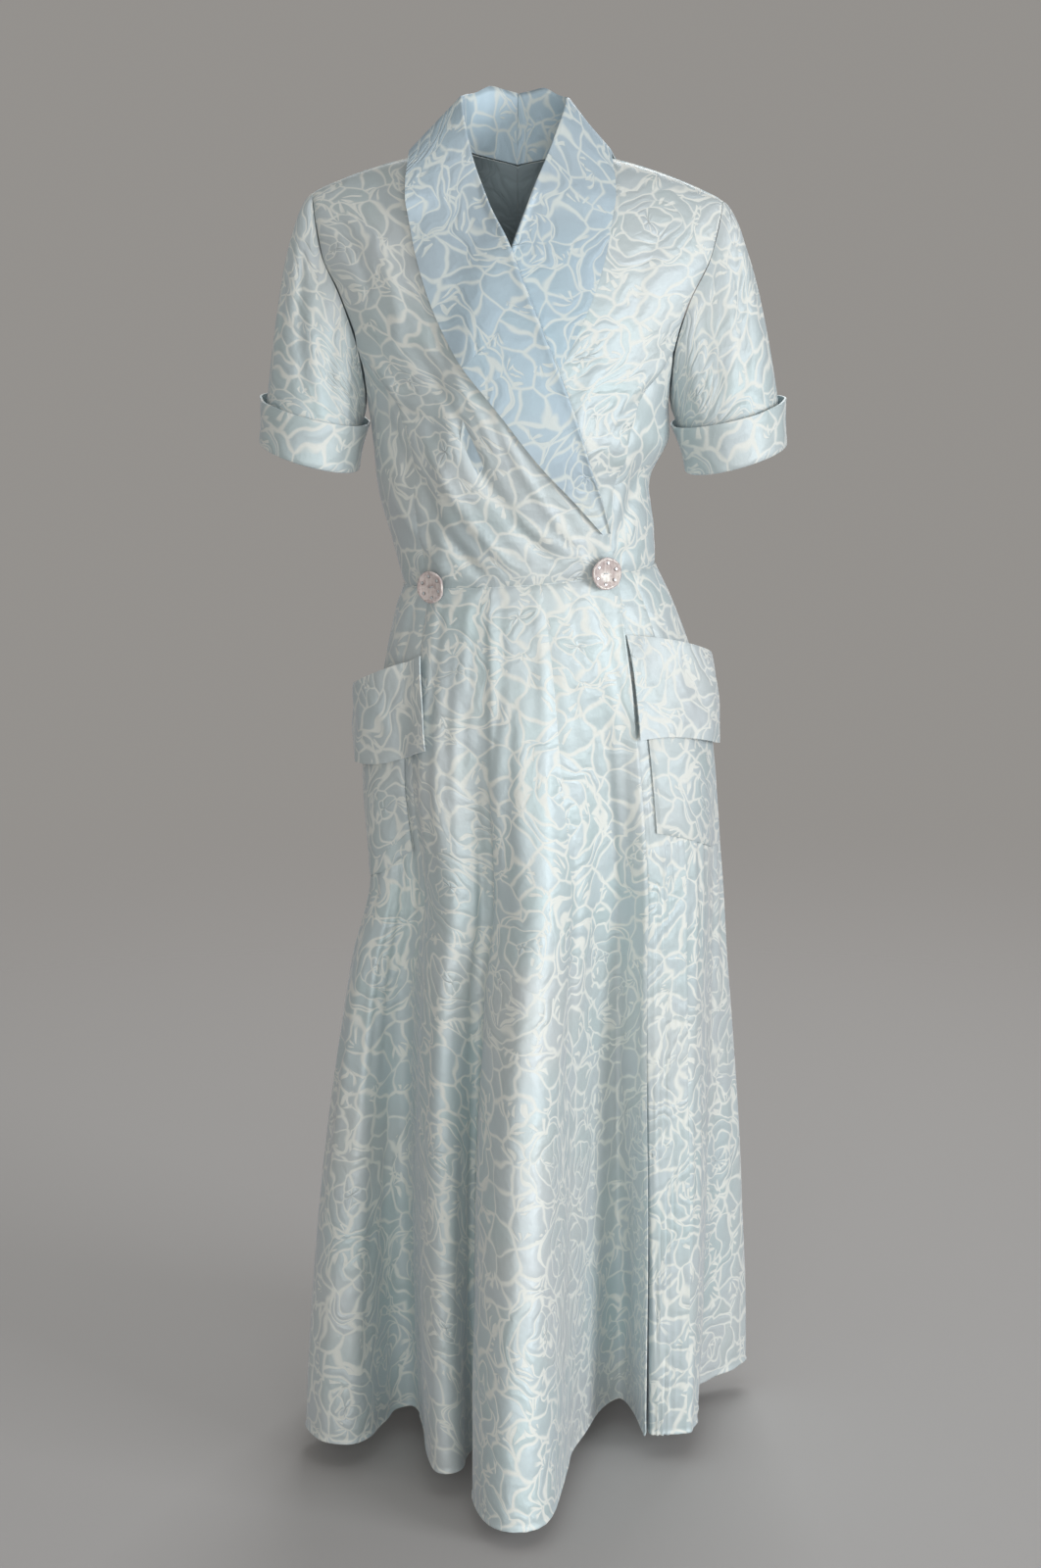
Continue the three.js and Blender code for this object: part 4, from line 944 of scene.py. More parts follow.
cuffSection = table("height outside", (0, 4), (0.5, 5), (1, 8))
for name, sign in (("right", -1), ("left", 1)):
    u = gridSteps(sleeve["around"], sleeve["step"])
    v = gridSteps(sleeve["length"], sleeve["step"])
    turn = (1 - u if sign < 0 else u)[:, None]
    down = v[None, :]
    base = sleevePoint(sign, turn, down)
    across, fallen = measured(base)
    arc = (np.mod(turn + 0.5, 1) - 0.5) * across[-1:, :]
    height = crease(arc + sleeve["drift"] * sign, fallen + 0 * arc, sleeveCreases)
    fade = smooth(fallen / 24) * smooth((fallen[:, -1:] - fallen) / 60)
    height = height * (sleeve["creaseLeast"] + sleeve["creaseMore"] * fade)
    height = height + seamDip(fallen, arc + 400, wide=4, deep=1.5, beat=9)
    points = base + sleeveOut(sign, turn, down) * height[..., None]
    clothPiece(
        f"sleeve_{name}", points,
        {"material": brocade, "isRing": True, "grain": 0, "shiftU": 150 * sign, "shiftV": 260},
    )

    def cuffRing(heights, grows, drops):  # rings of points on the sleeve, moved out and hung below its hem
        columns = []
        for rise, grow, drop in zip(heights, grows, drops):
            low, high = np.zeros(len(u)), np.ones(len(u))
            goal = sleevePoint(sign, turn[:, 0], np.ones(len(u)))[:, 2] + rise
            for _ in range(24):
                middle = (low + high) / 2
                isHigh = sleevePoint(sign, turn[:, 0], middle)[:, 2] > goal
                low, high = np.where(isHigh, middle, low), np.where(isHigh, high, middle)
            out = sleeveOut(sign, turn[:, 0], middle)
            out[:, 2] = 0
            ring = sleevePoint(sign, turn[:, 0], middle) + unit(out) * grow
            ring[:, 2] -= drop
            columns.append(ring)
        return np.stack(columns, axis=1)

    section = []  # how far each ring rises, stands out and hangs below the hem: round the fold, then up
    for a in np.linspace(0, np.pi / 2, sleeve["turnRows"]):
        section.append((0, 0.5 + sleeve["turnOut"] * np.sin(a), 0.8 + sleeve["turnDrop"] * np.cos(a)))
    for share in np.linspace(0.08, 1, sleeve["cuffRows"]):
        grow = float(along(cuffSection, "height", "outside", share))
        section.append((share * sleeve["cuffHeight"], grow, 0))
    ring = cuffRing(*zip(*section))
    wave = 0.7 * np.sin(2 * np.pi * turn * 5 + sign) + 0.5 * np.sin(2 * np.pi * turn * 11 + 2)
    lean = np.linspace(0, 1, ring.shape[1])[None, :] ** 2
    out = sleeveOut(sign, turn, 0.9 + 0 * lean)
    out[..., 2] = 0
    ring = ring + unit(out) * (wave * lean)[..., None]
    clothPiece(
        f"cuff_{name}", ring[:, ::-1],
        {"material": brocade, "isRing": True, "thick": sleeve["cuffThick"], "grain": 0, "shiftU": 90 * sign,
         "shiftV": 400},
    )
print("sleeves done")


# The shawl collar.
collar = {
    "step": 5.0, "across": 30, "thick": 1.6, "standRise": 14, "arch": 12, "lift": {-1: 5, 1: 3.2},
    "turn": ((-2.1, 0), (-2.4, 1.2), (-0.6, 0.4)), "foot": (-1.4, 0.8), "proud": {-1: 2.6, 1: 0.8},
    "length": 430, "backRows": 26, "bulge": 0.09,
    "spots": (0.04, 0.1, 0.2, 0.32, 0.45, 0.58, 0.7, 0.8, 0.89, 0.96, 1),
}


def throughPoints(controls, count):  # a smooth curve through each row of control points
    known = controls.shape[1]
    place = np.linspace(0, known - 1, count)
    slope = np.empty_like(controls)
    slope[:, 1:-1] = (controls[:, 2:] - controls[:, :-2]) / 2
    slope[:, 0] = controls[:, 1] - controls[:, 0]
    slope[:, -1] = controls[:, -1] - controls[:, -2]
    i = np.clip(place.astype(int), 0, known - 2)
    t = (place - i)[None, :, None]
    return hermite(controls[:, i], controls[:, i + 1], slope[:, i], slope[:, i + 1], t)


def collarPoints(sign):
    rows = roll[sign]
    ups = np.linspace(0, 1, round(collar["length"] / collar["step"]))
    angles = np.linspace(neck["angle"][0] + 1.2, 180, collar["backRows"])
    isBack = np.concatenate([np.zeros(len(ups), bool), np.ones(len(angles), bool)])

    def value(key):
        return np.concatenate([along(rows, "up", key, ups), along(neck, "angle", key, angles)])

    frontLevel, frontAngle = rollPlace(sign, ups)
    backLevel, backAngle = neckPlace(angles)
    level = np.concatenate([frontLevel, backLevel])
    angle = np.concatenate([frontAngle, backAngle * sign])
    edgeX = value("edgeX") * np.where(isBack, sign, 1)
    edgeLevel, edgeAngle = placeOn(isBack, edgeX, value("edgeZ"))
    edgeAngle = np.where(isBack & (sign < 0), edgeAngle - 360, edgeAngle)
    lifted = rightFrontLift if sign < 0 else flatLift
    seatOut = torsoOut(level, angle)
    root = torsoPoint(level, angle) + seatOut * lifted(level, angle)[:, None]
    rise = value("rise")
    free = smooth(rise / collar["standRise"])
    upward = unit(lerp(seatOut, np.array([0.0, 0.0, 1.0]), free[:, None]))
    edgeOut = torsoOut(edgeLevel, edgeAngle)
    edgeBase = torsoPoint(edgeLevel, edgeAngle) + edgeOut * lifted(edgeLevel, edgeAngle)[:, None]
    chord = edgeBase - root
    over = unit(chord - upward * np.sum(chord * upward, axis=1, keepdims=True))
    high = collar["lift"][sign]

    def spot(ahead, above):
        return root + over * ahead + upward * np.reshape(above, (-1, 1))

    foot, turned, top = collar["turn"]
    low = lerp(collar["foot"][0], collar["foot"][1], free)
    controls = [spot(foot[0], low), spot((foot[0] + turned[0]) / 2, (low + rise + turned[1]) / 2)]
    proud = collar["proud"][sign] * (1 - free)
    controls.append(spot(turned[0], rise + turned[1] + proud * 0.7))
    controls.append(spot(top[0], rise + high + top[1] + proud))
    for w in collar["spots"]:
        wLevel, wAngle = lerp(level, edgeLevel, w), lerp(angle, edgeAngle, w)
        out = torsoOut(wLevel, wAngle)
        bulge = proud * math.exp(-((w / collar["bulge"]) ** 2))
        lying = torsoPoint(wLevel, wAngle) + out * (lifted(wLevel, wAngle) + high + bulge)[:, None]
        edge = edgeBase + edgeOut * (high + collar["arch"] * free)[:, None]
        standing = lerp(spot(0, rise + high), edge, w)
        controls.append(lerp(lying, standing, free[:, None]))
    return np.stack(controls, axis=1), free


for name, sign in (("right", -1), ("left", 1)):
    controls, free = collarPoints(sign)
    points = throughPoints(controls, collar["across"])
    points[-1, :, 0] = sign * body["seam"] / 2
    if sign > 0:
        points = points[::-1]
    clothPiece(
        f"collar_{name}", points,
        {"material": collarBrocade, "slot": "collar_brocade", "thick": collar["thick"], "isBent": True,
         "shiftU": 60 * sign, "shiftV": 820 + 90 * sign},
    )
print("collar done")


# The skirt.
skirtLook = {
    "step": 7.0, "down": 8.0, "length": body["waist"] - body["hem"], "perDegree": 2.6, "startAngle": 48,
    "wave": 1.1, "crinkle": 5.0, "crinkleAt": 42, "crinkleWide": 9, "crinkleFrom": 180, "underShare": 0.5,
    "frontSeam": 5, "frontSeamShare": 0.3,
}
waistSeam = {"wide": 3.6, "deep": 1.8, "beat": 8}
goreSeam = {"wide": 3, "deep": 1.3, "beat": 15}
fold = {
    "topAngle": -17.5, "hemAngle": -11.5, "length": 860, "sharpSide": 1.1, "softSide": 8,
    "hollowAt": 6.5, "hollowWide": 5, "hollowShare": 0.5, "rise": 2.2, "grow": 10, "growFrom": 50,
    "growOver": 650, "fadeIn": 60,
}
skirtCreases = table(  # by millimetres round the waist, at 2.6 to a degree, and down from it
    "x0 z0 x1 z1 width deep bend",
    (-104, 0, -112, 150, 7, -1.6, 3),
    (-66, 0, -70, 120, 7, 1.6, -3),
    (-34, 4, -40, 170, 8, -1.7, 3),
    (4, 0, 2, 130, 7, 1.4, 2),
    (38, 0, 40, 90, 6, -1.3, 2),
    (70, 0, 76, 130, 6, -1.6, -3),
    (84, 4, 96, 96, 6, 1.5, 3),
    (-160, 0, -170, 110, 8, -1.5, 3),
    (-230, 0, -240, 140, 9, 1.5, -3),
    (-300, 0, -296, 150, 9, -1.6, 3),
    (-380, 0, -386, 160, 9, -1.6, -4),
    (-450, 0, -444, 150, 9, 1.6, 4),
    (-520, 0, -528, 170, 9, -1.6, 4),
    (-600, 0, -596, 150, 9, 1.5, -3),
    (-690, 0, -700, 160, 9, -1.6, 3),
)
gores = table(
    "start end wide isWrap isUnder shiftU shiftV grain mirror",
    (-51, 5, 420, 0, 0, 0, 0, 1, 1),
    (-99, -51, 330, 0, 0, 620, 210, 0.5, 1),
    (-179, -99, 560, 0, 0, -480, 330, 0.5, 1),
    (-251, -179, 520, 0, 0, 900, 60, 0.5, 1),
    (-307, -251, 300, 0, 0, -880, 440, 0.5, 1),
    (5, 33, 230, 1, 0, 0, 34, 0, -1),
    (-399, -307, 560, 0, 1, 260, 540, 0.5, 1),
)
goreNames = (
    "skirt_right_side_front", "skirt_right_side", "skirt_back_right", "skirt_back_left", "skirt_left_side",
    "skirt_right_front", "skirt_left_front",
)


def foldHeight(fall, angle):  # the sharp fold down the front of the skirt, hollow on its right side
    away = angle - lerp(fold["topAngle"], fold["hemAngle"], np.clip(fall / fold["length"], 0, 1))
    ridge = np.exp(-((away / np.where(away < 0, fold["sharpSide"], fold["softSide"])) ** 2))
    hollow = np.exp(-(((away + fold["hollowAt"]) / fold["hollowWide"]) ** 2))
    rise = fold["rise"] + fold["grow"] * smooth((fall - fold["growFrom"]) / fold["growOver"])
    return rise * (ridge - fold["hollowShare"] * hollow) * smooth(fall / fold["fadeIn"])


def freeEdge(fall):
    return body["wrapEdge"] + (body["wrapCorner"] - body["wrapEdge"]) * np.exp(-fall / body["edgeCurve"])


for k, name in enumerate(goreNames):
    gore = {key: gores[key][k] for key in gores}
    edges = (1,) if gore["isWrap"] else (0,) if gore["isUnder"] else ()
    u = gridSteps(gore["wide"], skirtLook["step"], edges=edges)[:, None]
    v = gridSteps(skirtLook["length"], skirtLook["down"], edges=(0, 1))[None, :]
    fall = (1 - v) * skirtLook["length"] + 0 * u
    end = freeEdge(fall) if gore["isWrap"] else gore["end"]
    angle = lerp(gore["start"], end, u)
    base = skirtPoint(fall, angle)
    left, right, bottom, top = fromEdges(base)
    around = np.mod(angle - skirtLook["startAngle"], 360) - 360 + skirtLook["startAngle"]
    height = crease(around * skirtLook["perDegree"], fall, skirtCreases) * smooth((fall + 6) / 30)
    if name == "skirt_right_side_front":
        height = height + foldHeight(fall, angle)
    if gore["isUnder"]:  # upright crinkles where the under layer comes out from behind the overlap
        crinkle = np.sin(angle * 1.9 + 2.2 * np.sin(fall / 87)) * np.sin(fall / 61 + angle / 5)
        away = np.mod(angle + 360, 360) - skirtLook["crinkleAt"]
        band = np.exp(-((away / skirtLook["crinkleWide"]) ** 2))
        low = smooth((fall - skirtLook["crinkleFrom"]) / 80)
        height = height + skirtLook["crinkle"] * crinkle * band * low
    soft = np.sin(angle * 0.9 + fall / 170) * np.sin(fall / 93 + angle / 11) * smooth(fall / 200)
    height = height + skirtLook["wave"] * soft + seamDip(top, left + 900, **waistSeam)
    if not gore["isWrap"]:
        share = skirtLook["frontSeamShare"] if gore["end"] == skirtLook["frontSeam"] else 1
        height = height + seamDip(right, bottom, **goreSeam) * share
    if not gore["isUnder"]:
        share = skirtLook["frontSeamShare"] if gore["isWrap"] else 1
        height = height + seamDip(left, bottom, **goreSeam) * share
    if gore["isUnder"]:
        height = height * skirtLook["underShare"] + rolledEdge(left)
    height = height + rolledEdge(bottom)
    if gore["isWrap"]:
        height = height + rolledEdge(right)
    isLifted = (not gore["isUnder"]) & (angle > -90)
    lift = np.where(isLifted, overlapLift(angle, body["wrapEnd"]), 0)
    points = base + skirtOut(fall, angle) * (height + lift)[..., None]
    clothPiece(
        name, points,
        {"material": skirtBrocade, "grain": gore["grain"], "mirror": gore["mirror"],
         "shiftU": gore["shiftU"], "shiftV": gore["shiftV"]},
    )
print("skirt done")


# The patch pockets and their cuffs.
pocketLook = {
    "step": 5, "wide": 185, "drop": 200, "stand": 2, "wall": 1.5, "topFold": 4, "seat": 0.8, "kick": 6.4,
    "thick": 1.4, "bulge": 0.7, "wrinkle": 0.8, "tuck": -1.6, "tuckWide": 3.5,
    "cuffWide": 215, "cuffLong": 105, "cuffThick": 1.5, "sway": 1.9, "ripple": 1.0,
    "cuffShiftU": 260, "cuffShiftV": 220,
}
pockets = {
    "right": {
        "start": -111, "end": -55, "mouthStart": 102, "mouthEnd": 74, "gape": 19, "cuffDrop": 100,
        "overStart": 0.04, "overEnd": 0.14, "shiftU": 350, "shiftV": 100,
        "curl": 0.7, "dip": 8, "spread": -0.12,
        "tip": 26, "tipAt": 0.32, "tipBefore": 0.24, "tipAfter": 0.6, "flare": 7,
    },
    "left": {
        "start": 39, "end": 95, "mouthStart": 63, "mouthEnd": 84, "gape": 14, "cuffDrop": 104,
        "overStart": 0.05, "overEnd": 0.04, "shiftU": -700, "shiftV": 300,
        "curl": 2.5, "dip": 9, "spread": 0.05,
        "tip": 22, "tipAt": 0.85, "tipBefore": 0.6, "tipAfter": 0.3, "flare": 6,
    },
}
cuffCreases = table(  # by millimetres across and down the turned-down cuff
    "x0 z0 x1 z1 width deep bend",
    (30, 16, 76, 92, 7, 1.6, 6),
    (60, 8, 120, 84, 8, -1.7, -7),
    (104, 12, 150, 70, 7, 1.4, 5),
    (150, 20, 172, 96, 6, -1.4, -3),
    (14, 40, 26, 98, 6, -1.2, 2),
)
for name, pocket in pockets.items():
    def angleAt(u):
        return lerp(pocket["start"], pocket["end"], u)

    def slack(u):  # 1 where the top sinks and stands off the most
        away = u - pocket["tipAt"]
        return np.exp(-((away / np.where(away < 0, pocket["tipBefore"], pocket["tipAfter"])) ** 2))

    def straightMouth(u):
        return lerp(pocket["mouthStart"], pocket["mouthEnd"], u)

    def mouth(u):
        return straightMouth(u) + pocket["tip"] * slack(u)

    def ground(u):
        angle = angleAt(u)
        return np.where(angle > body["wrapEdge"], 0, overlapLift(angle, body["wrapEnd"]))

    def stand(u, share):  # outer face of the pocket above the skirt
        bulge = np.sin(np.pi * np.clip(u, 0, 1)) ** pocketLook["bulge"]
        gape = pocket["gape"] * bulge * share * share
        return pocketLook["stand"] + pocketLook["wall"] + ground(u) + gape

    step = pocketLook["step"]
    u = gridSteps(pocketLook["wide"], step, edges=(0, 1))[:, None]
    v = gridSteps(pocketLook["drop"], step, edges=(1,))[None, :]
    fall = mouth(u) + pocketLook["drop"] * (1 - v)
    base = skirtPoint(fall, angleAt(u) + 0 * v)
    left, right, bottom = fromEdges(base)[:3]
    wrinkle = pocketLook["wrinkle"] * np.sin(bottom / 23 + left / 31) * np.sin(left / 19 + 1)
    wrinkle = wrinkle * smooth(left / 25) * smooth(right / 25)
    seam = np.minimum(np.minimum(left, right), bottom)
    hemmed = pocketLook["tuck"] * np.exp(-((seam / pocketLook["tuckWide"]) ** 2))
    out = skirtOut(fall, angleAt(u) + 0 * v)
    points = base + out * (stand(u, v) + wrinkle + hemmed)[..., None]
    clothPiece(
        f"pocket_{name}", points,
        {"material": brocade, "thick": pocketLook["thick"],
         "shiftU": pocket["shiftU"], "shiftV": pocket["shiftV"]},
    )

    def cuffPoint(at, w):  # w is 0 at the fold and 1 at the free lower edge
        spread = pocket["spread"]
        at = at - spread * w * (1 - at if spread > 0 else at)
        u = lerp(-pocket["overStart"], 1 + pocket["overEnd"], at)
        place = lerp(mouth(u) - pocketLook["topFold"], straightMouth(u) + pocket["cuffDrop"], w)
        share = 1 - np.maximum(0, place - mouth(u)) / pocketLook["drop"]
        height = stand(u, share) + pocketLook["wall"] + lerp(pocketLook["seat"], pocketLook["kick"], w)
        height = height + pocket["flare"] * slack(u) * (1 - w * w)
        angle = angleAt(u) + 0 * place
        sway = pocketLook["sway"] * np.sin(at * 9 + 1 + 1.5 * w) * w
        sway = sway + pocketLook["ripple"] * np.sin(at * 21 + 4 * w) * w
        corner = smooth((abs(at - 0.5) - 0.3) / 0.2) * smooth((w - 0.55) / 0.45)
        height = height + sway + pocket["curl"] * corner + crease(at * 190, w * 100, cuffCreases)
        point = skirtPoint(place, angle) + skirtOut(place, angle) * height[..., None]
        point[..., 2] += pocket["dip"] * (np.sin(at * 5.5 + 0.6) - 0.45) * 0.5 * smooth((w - 0.5) / 0.5)
        return point

    at = gridSteps(pocketLook["cuffWide"], step, edges=(0, 1))[:, None]
    w = gridSteps(pocketLook["cuffLong"], step, edges=(0,))[None, ::-1]
    clothPiece(
        f"pocket_cuff_{name}", cuffPoint(at, w),
        {"material": brocade, "thick": pocketLook["cuffThick"],
         "shiftU": pocket["shiftU"] + pocketLook["cuffShiftU"],
         "shiftV": pocket["shiftV"] + pocketLook["cuffShiftV"]},
    )
print("pockets done")


# The shell buttons, their thread and rhinestones.
shellLook = {
    "pale": (0.64, 0.565, 0.54, 1), "deep": (0.42, 0.335, 0.325, 1), "glint": (0.92, 0.88, 0.9, 1),
    "glintShare": 0.18, "rough": 0.2, "coat": 0.5, "coatRough": 0.06, "film": 380, "filmBend": 1.45,
}
buttonLook = {
    "shank": 5.4, "shankRadius": 2.4, "seat": 0.9, "steps": 72, "flat": 9, "wavy": 0.022, "warp": 0.35,
    "holeReach": 3.0, "holeRadius": 1.0, "holeDeep": 1.2, "wound": 0.07,
    "strandSpread": 0.28, "strandRadius": 0.26, "strandLength": 5.6, "strandHeight": 1.95,
    "stones": 6, "stoneRing": 11.2, "stoneRadius": 1.7, "stoneHeight": 3.45, "firstStone": 0.4,
}
shellRows = table(  # the disc's outline from the middle of its back to the middle of its face
    "radius height",
    (0, 0.4), (6, 0.4), (12, 0.5), (15, 1.1), (16.6, 2.4), (17, 3.4), (16.7, 4.3), (15.8, 4.9), (14.7, 4.8),
    (13.6, 4.3), (12.4, 3.8), (11, 3.3), (9.6, 2.85), (8.2, 2.45), (7, 2.2), (6, 2.05),
    (5.3, 1.97), (4.7, 1.92), (4.1, 1.87), (3.6, 1.84), (3.1, 1.82), (2.6, 1.8), (2.1, 1.8),
    (1.6, 1.8), (1.1, 1.8), (0.6, 1.8), (0, 1.8),
)
buttons = {
    "right": {"angle": -44.5, "level": 0.004, "turn": 0.3},
    "left": {"angle": 33, "level": 0.012, "turn": 0.0},
}


def makeShell(look):
    material, tree, shader = newMaterial("pearl shell")
    space = wire(tree, "ShaderNodeTexCoord").outputs["Object"]
    cloud = noise(tree, space, 120.0, 4.0, Distortion=1.6)["Fac"]
    growth = wire(tree, "ShaderNodeTexWave", {
        "Vector": space, "Scale": 90.0, "Distortion": 5.0, "Detail": 2.0,
    }).outputs["Fac"]
    colour = blendColours(tree, step01(tree, cloud, 0.35, 0.7), look["pale"], look["deep"])
    bump = wire(tree, "ShaderNodeBump", {"Height": growth, "Strength": 0.25, "Distance": 0.0002}).outputs[0]
    feed(tree, shader, {
        "Base Color": blendColours(tree, times(tree, growth, look["glintShare"]), colour, look["glint"]),
        "Roughness": sums(tree, "ADD", look["rough"], times(tree, cloud, 0.12)), "Normal": bump,
        "Coat Weight": look["coat"], "Coat Roughness": look["coatRough"],
        "Thin Film Thickness": look["film"], "Thin Film IOR": look["filmBend"],
    })
    return material


def simple(name, colour, rough, metal=0.0):
    material, tree, shader = newMaterial(name)
    space = wire(tree, "ShaderNodeTexCoord").outputs["Object"]
    cloud = noise(tree, space, 700.0, 3.0)["Fac"]
    feed(tree, shader, {
        "Base Color": blendColours(tree, cloud, (*colour, 1), (*[c * 0.8 for c in colour], 1)),
        "Roughness": sums(tree, "ADD", rough, times(tree, cloud, 0.08)), "Metallic": metal,
    })
    return material


pearl = makeShell(shellLook)
setting = simple("dark setting", (0.16, 0.14, 0.13), 0.35, 0.9)
crystal = simple("rhinestone", (0.86, 0.89, 0.92), 0.03, 0.75)
thread = simple("sewing thread", (0.62, 0.68, 0.70), 0.7)


def finishPiece(bm, name, place, material, nodes=(), isSmooth=True):
    bmesh.ops.remove_doubles(bm, verts=bm.verts, dist=1e-4)
    bmesh.ops.recalc_face_normals(bm, faces=bm.faces)
    bmesh.ops.transform(bm, matrix=place, verts=bm.verts)
    mesh = meshOf(bm, name)
    if isSmooth:
        mesh.shade_smooth()
    mesh.materials.append(material)
    piece = placed(name, mesh)
    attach(piece, "root")
    if nodes:
        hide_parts(*nodes)


def skinPlace(point, out, turn=0.0):  # a matrix that stands millimetre work on the cloth, in metres
    stand = Vector(out).to_track_quat("Z", "Y").to_matrix().to_4x4()
    spot = Matrix.Translation(Vector(point) * mm)
    return spot @ stand @ Matrix.Rotation(turn, 4, "Z") @ Matrix.Scale(mm, 4)


for name, button in buttons.items():
    out = waistOut(np.array(button["angle"]))
    ground = float(rightFrontLift(np.array(button["level"]), np.array(button["angle"])))
    foot = torsoPoint(button["level"], button["angle"]) + out * (ground + buttonLook["seat"])
    place = skinPlace(foot, out, button["turn"])
    look = buttonLook
    bm = bmesh.new()
    rows = []
    for radius, height in zip(*shellRows.values()):
        rows.append(bm.verts.new((radius, 0, look["shank"] + height)))
    outline = [bm.edges.new(pair) for pair in zip(rows, rows[1:])]
    bmesh.ops.spin(bm, geom=rows + outline, axis=(0, 0, 1), cent=(0, 0, 0), steps=look["steps"],
                   angle=2 * math.pi, use_merge=True)
    for vert in bm.verts:
        reach, turn = math.hypot(vert.co.x, vert.co.y), math.atan2(vert.co.y, vert.co.x)
        outer = min(1, max(0, (reach - look["flat"]) / 8))
        wavy = 1 + math.cos(5 * turn + 0.7) * 0.6 + math.cos(3 * turn) * 0.4
        grow = 1 - look["wavy"] * outer * wavy
        vert.co.x *= grow
        vert.co.y *= grow
        if vert.co.z > look["shank"] + 2:
            vert.co.z += look["warp"] * outer * math.cos(5 * turn + 2.1)
            for side in (-1, 1):
                away = math.hypot(vert.co.x - side * look["holeReach"], vert.co.y)
                vert.co.z -= look["holeDeep"] * max(0, 1 - (away / look["holeRadius"]) ** 4)
    finishPiece(bm, f"button_{name}_shell", place, pearl, (f"button_{name}",))

    bm = bmesh.new()
    bmesh.ops.create_cone(bm, cap_ends=True, segments=20, radius1=look["shankRadius"],
                          radius2=look["shankRadius"], depth=look["shank"],
                          matrix=Matrix.Translation((0, 0, look["shank"] / 2)))
    upright = [edge for edge in bm.edges if abs(edge.verts[0].co.z - edge.verts[1].co.z) > 1]
    bmesh.ops.subdivide_edges(bm, edges=upright, cuts=11)
    for vert in bm.verts:
        turn = math.atan2(vert.co.y, vert.co.x)
        wound = 1 + look["wound"] * math.cos(turn + vert.co.z * 6)
        vert.co.x *= wound
        vert.co.y *= wound
    for side in (-1, 1):  # two strands across the face, from hole to hole
        spot = Matrix.Translation((0, side * look["strandSpread"], look["shank"] + look["strandHeight"]))
        bmesh.ops.create_cone(bm, cap_ends=True, segments=10, radius1=look["strandRadius"],
                              radius2=look["strandRadius"], depth=look["strandLength"],
                              matrix=spot @ Matrix.Rotation(math.pi / 2, 4, "Y"))
    finishPiece(bm, f"button_{name}_thread", place, thread)

    settings = bmesh.new()
    for k in range(look["stones"]):
        a = k / look["stones"] * 2 * math.pi + look["firstStone"]
        spot = Matrix.Translation((look["stoneRing"] * math.cos(a), look["stoneRing"] * math.sin(a), 0))
        high = look["shank"] + look["stoneHeight"]
        bmesh.ops.create_cone(settings, cap_ends=True, segments=16, radius1=look["stoneRadius"] + 0.35,
                              radius2=look["stoneRadius"] + 0.1, depth=1.2,
                              matrix=spot @ Matrix.Translation((0, 0, high - 0.35)))
        bm = bmesh.new()
        bmesh.ops.create_cone(bm, cap_ends=True, segments=8, radius1=look["stoneRadius"],
                              radius2=look["stoneRadius"] * 0.5, depth=0.8,
                              matrix=spot @ Matrix.Translation((0, 0, high + 0.65)))
        finishPiece(bm, f"rhinestone_{name}_{k + 1}_cut", place, crystal,
                    (f"rhinestone_{name}_{k + 1}",), isSmooth=False)
    finishPiece(settings, f"button_{name}_settings", place, setting)
print("buttons done")


# Stitches along the waist seam.
stitchLook = {
    "first": -307, "last": 41, "turn": 1.05, "length": 1.7, "radius": 0.24, "fall": 1.6, "proud": 0.12,
}
angles = np.arange(stitchLook["first"], stitchLook["last"], stitchLook["turn"])
points = skirtPoint(stitchLook["fall"], angles)
outs = skirtOut(stitchLook["fall"], angles)
lifts = np.where(angles > -90, overlapLift(angles, body["wrapEnd"]), 0)
points = points + outs * (lifts + stitchLook["proud"])[:, None]
stitches = bmesh.new()
for point, out, after in zip(points[:-1], outs, points[1:]):
    onward = Vector(after - point).normalized()
    up = Vector(out).normalized()
    side = up.cross(onward)
    turn = Matrix((onward, side, up)).transposed().to_4x4()
    size = Matrix.Diagonal((stitchLook["length"] / 2, stitchLook["radius"], stitchLook["radius"], 1))
    spot = Matrix.Translation(Vector(point))
    bmesh.ops.create_icosphere(stitches, subdivisions=1, radius=1, matrix=spot @ turn @ size)
finishPiece(stitches, "waist_stitches", Matrix.Scale(mm, 4), thread)
print("stitches done")
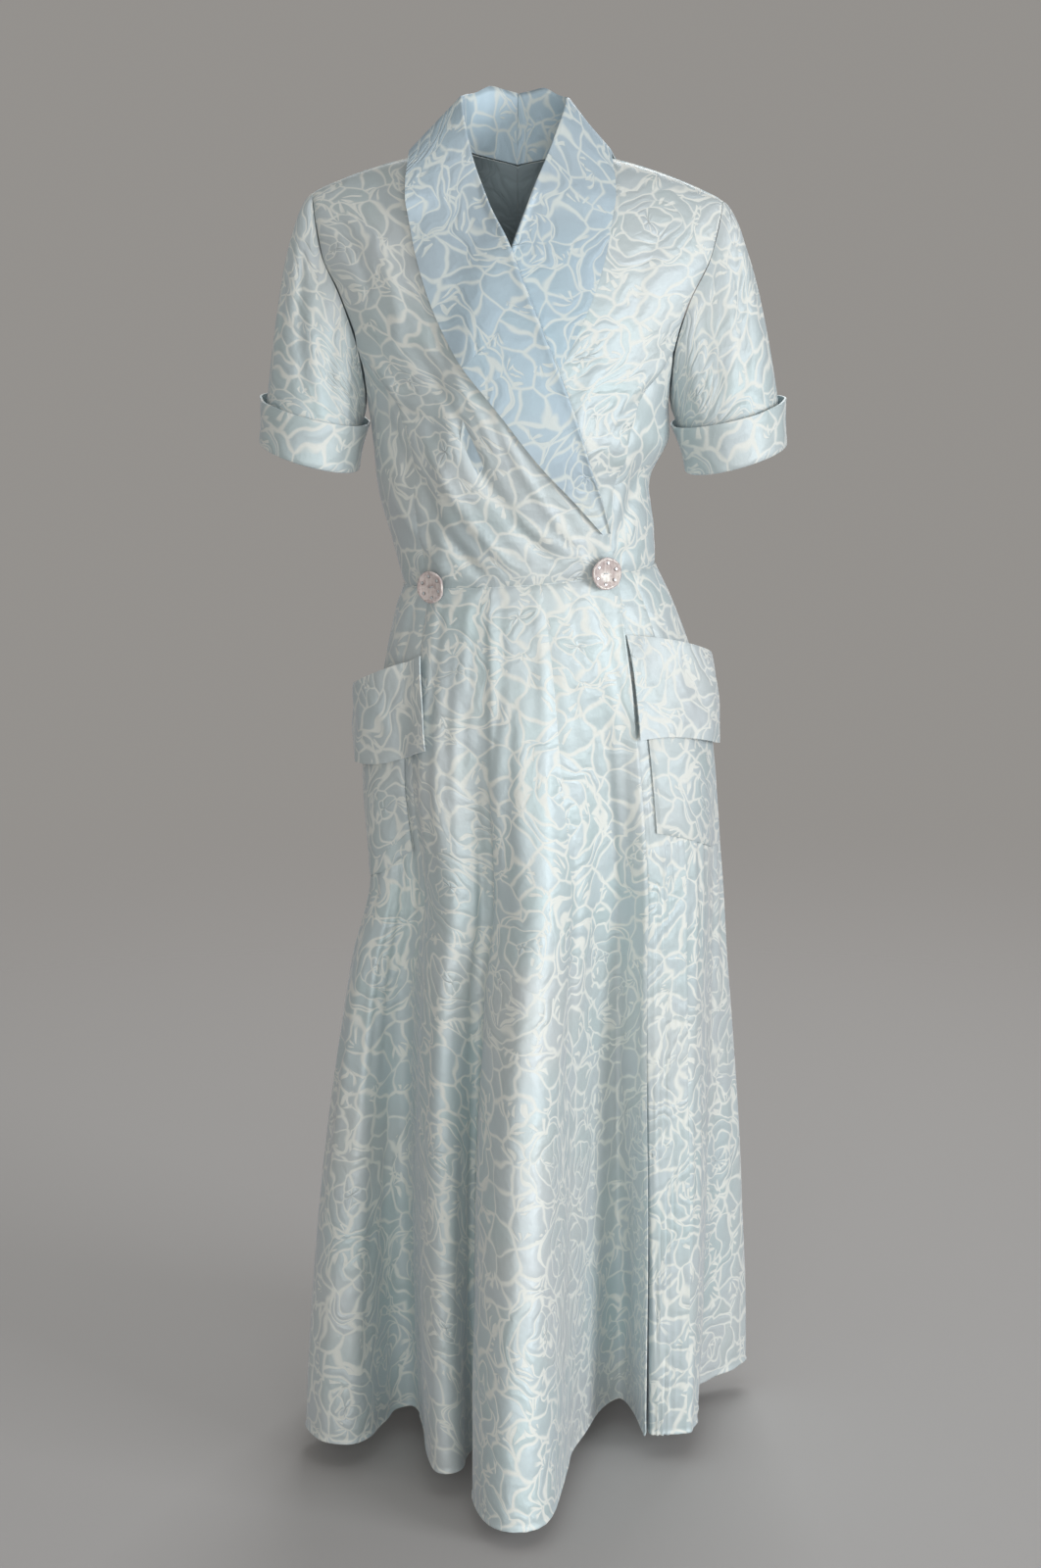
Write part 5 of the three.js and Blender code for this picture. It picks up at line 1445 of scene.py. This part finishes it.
# Floor, light and camera.
studio = {
    "floorSize": 14.0, "floorZ": -1400 * mm, "floorColour": (0.43, 0.427, 0.425), "floorRough": 0.9,
    "worldColour": (0.298, 0.285, 0.270), "worldPower": 1.0, "fadeStart": 0.9, "fadeEnd": 4.2,
}
camera = {"place": (0.003, -3.4, -0.020), "down": 10.7, "lens": 75, "sensor": 36}
bm = bmesh.new()
bmesh.ops.create_grid(bm, x_segments=1, y_segments=1, size=studio["floorSize"] / 2)
bmesh.ops.translate(bm, verts=bm.verts, vec=(0, 0, studio["floorZ"]))
floorMesh = meshOf(bm, "floor")
floor = placed("floor", floorMesh)
floorPaint, tree, shader = newMaterial("floor")
spread = vectors(tree, "LENGTH", wire(tree, "ShaderNodeTexCoord").outputs["Object"])
feed(tree, shader, {
    "Base Color": (*studio["floorColour"], 1), "Roughness": studio["floorRough"],
    "Alpha": step01(tree, spread, studio["fadeEnd"], studio["fadeStart"]),  # it fades into the backdrop
})
floorMesh.materials.append(floorPaint)

world = bpy.data.worlds.new("studio")
world.use_nodes = True
feed(world.node_tree, world.node_tree.nodes["Background"], {
    "Color": (*studio["worldColour"], 1), "Strength": studio["worldPower"],
})
bpy.context.scene.world = world
bpy.context.scene.view_settings.view_transform = "Standard"

lamps = {  # place, the height it points at on the gown's upright axis, size in metres, watts and colour
    "key": ((3.9, -2.9, 0.0), -0.9, 2.2, 142, (0.975, 0.975, 1)),
    "top": ((0.6, -1.6, 2.6), -0.3, 1.6, 9, (0.96, 0.97, 1)),
    "left": ((-2.9, 0.8, 0.6), -0.6, 1.4, 3, (0.97, 0.97, 1)),
    "fill": ((0, -4.4, -0.3), -0.9, 2.4, 63, (1, 0.99, 0.98)),
    "back": ((0.6, 3.0, 1.8), -0.5, 1.8, 60, (1, 1, 1)),
}
for name, (place, aim, size, power, tint) in lamps.items():
    data = bpy.data.lights.new(name, "AREA")
    data.shape = "SQUARE"
    data.size = size
    data.energy = power
    data.color = tint
    light = placed(name, data)
    light.location = place
    light.rotation_euler = (Vector((0, 0, aim)) - Vector(place)).to_track_quat("-Z", "Y").to_euler()

lensData = bpy.data.cameras.new("camera")
lensData.lens = camera["lens"]
lensData.sensor_width = camera["sensor"]
lensData.sensor_fit = "AUTO"
eye = placed("camera", lensData)
eye.location = camera["place"]
eye.rotation_euler = (math.radians(90 - camera["down"]), 0, 0)
bpy.context.scene.camera = eye
print("stage done")
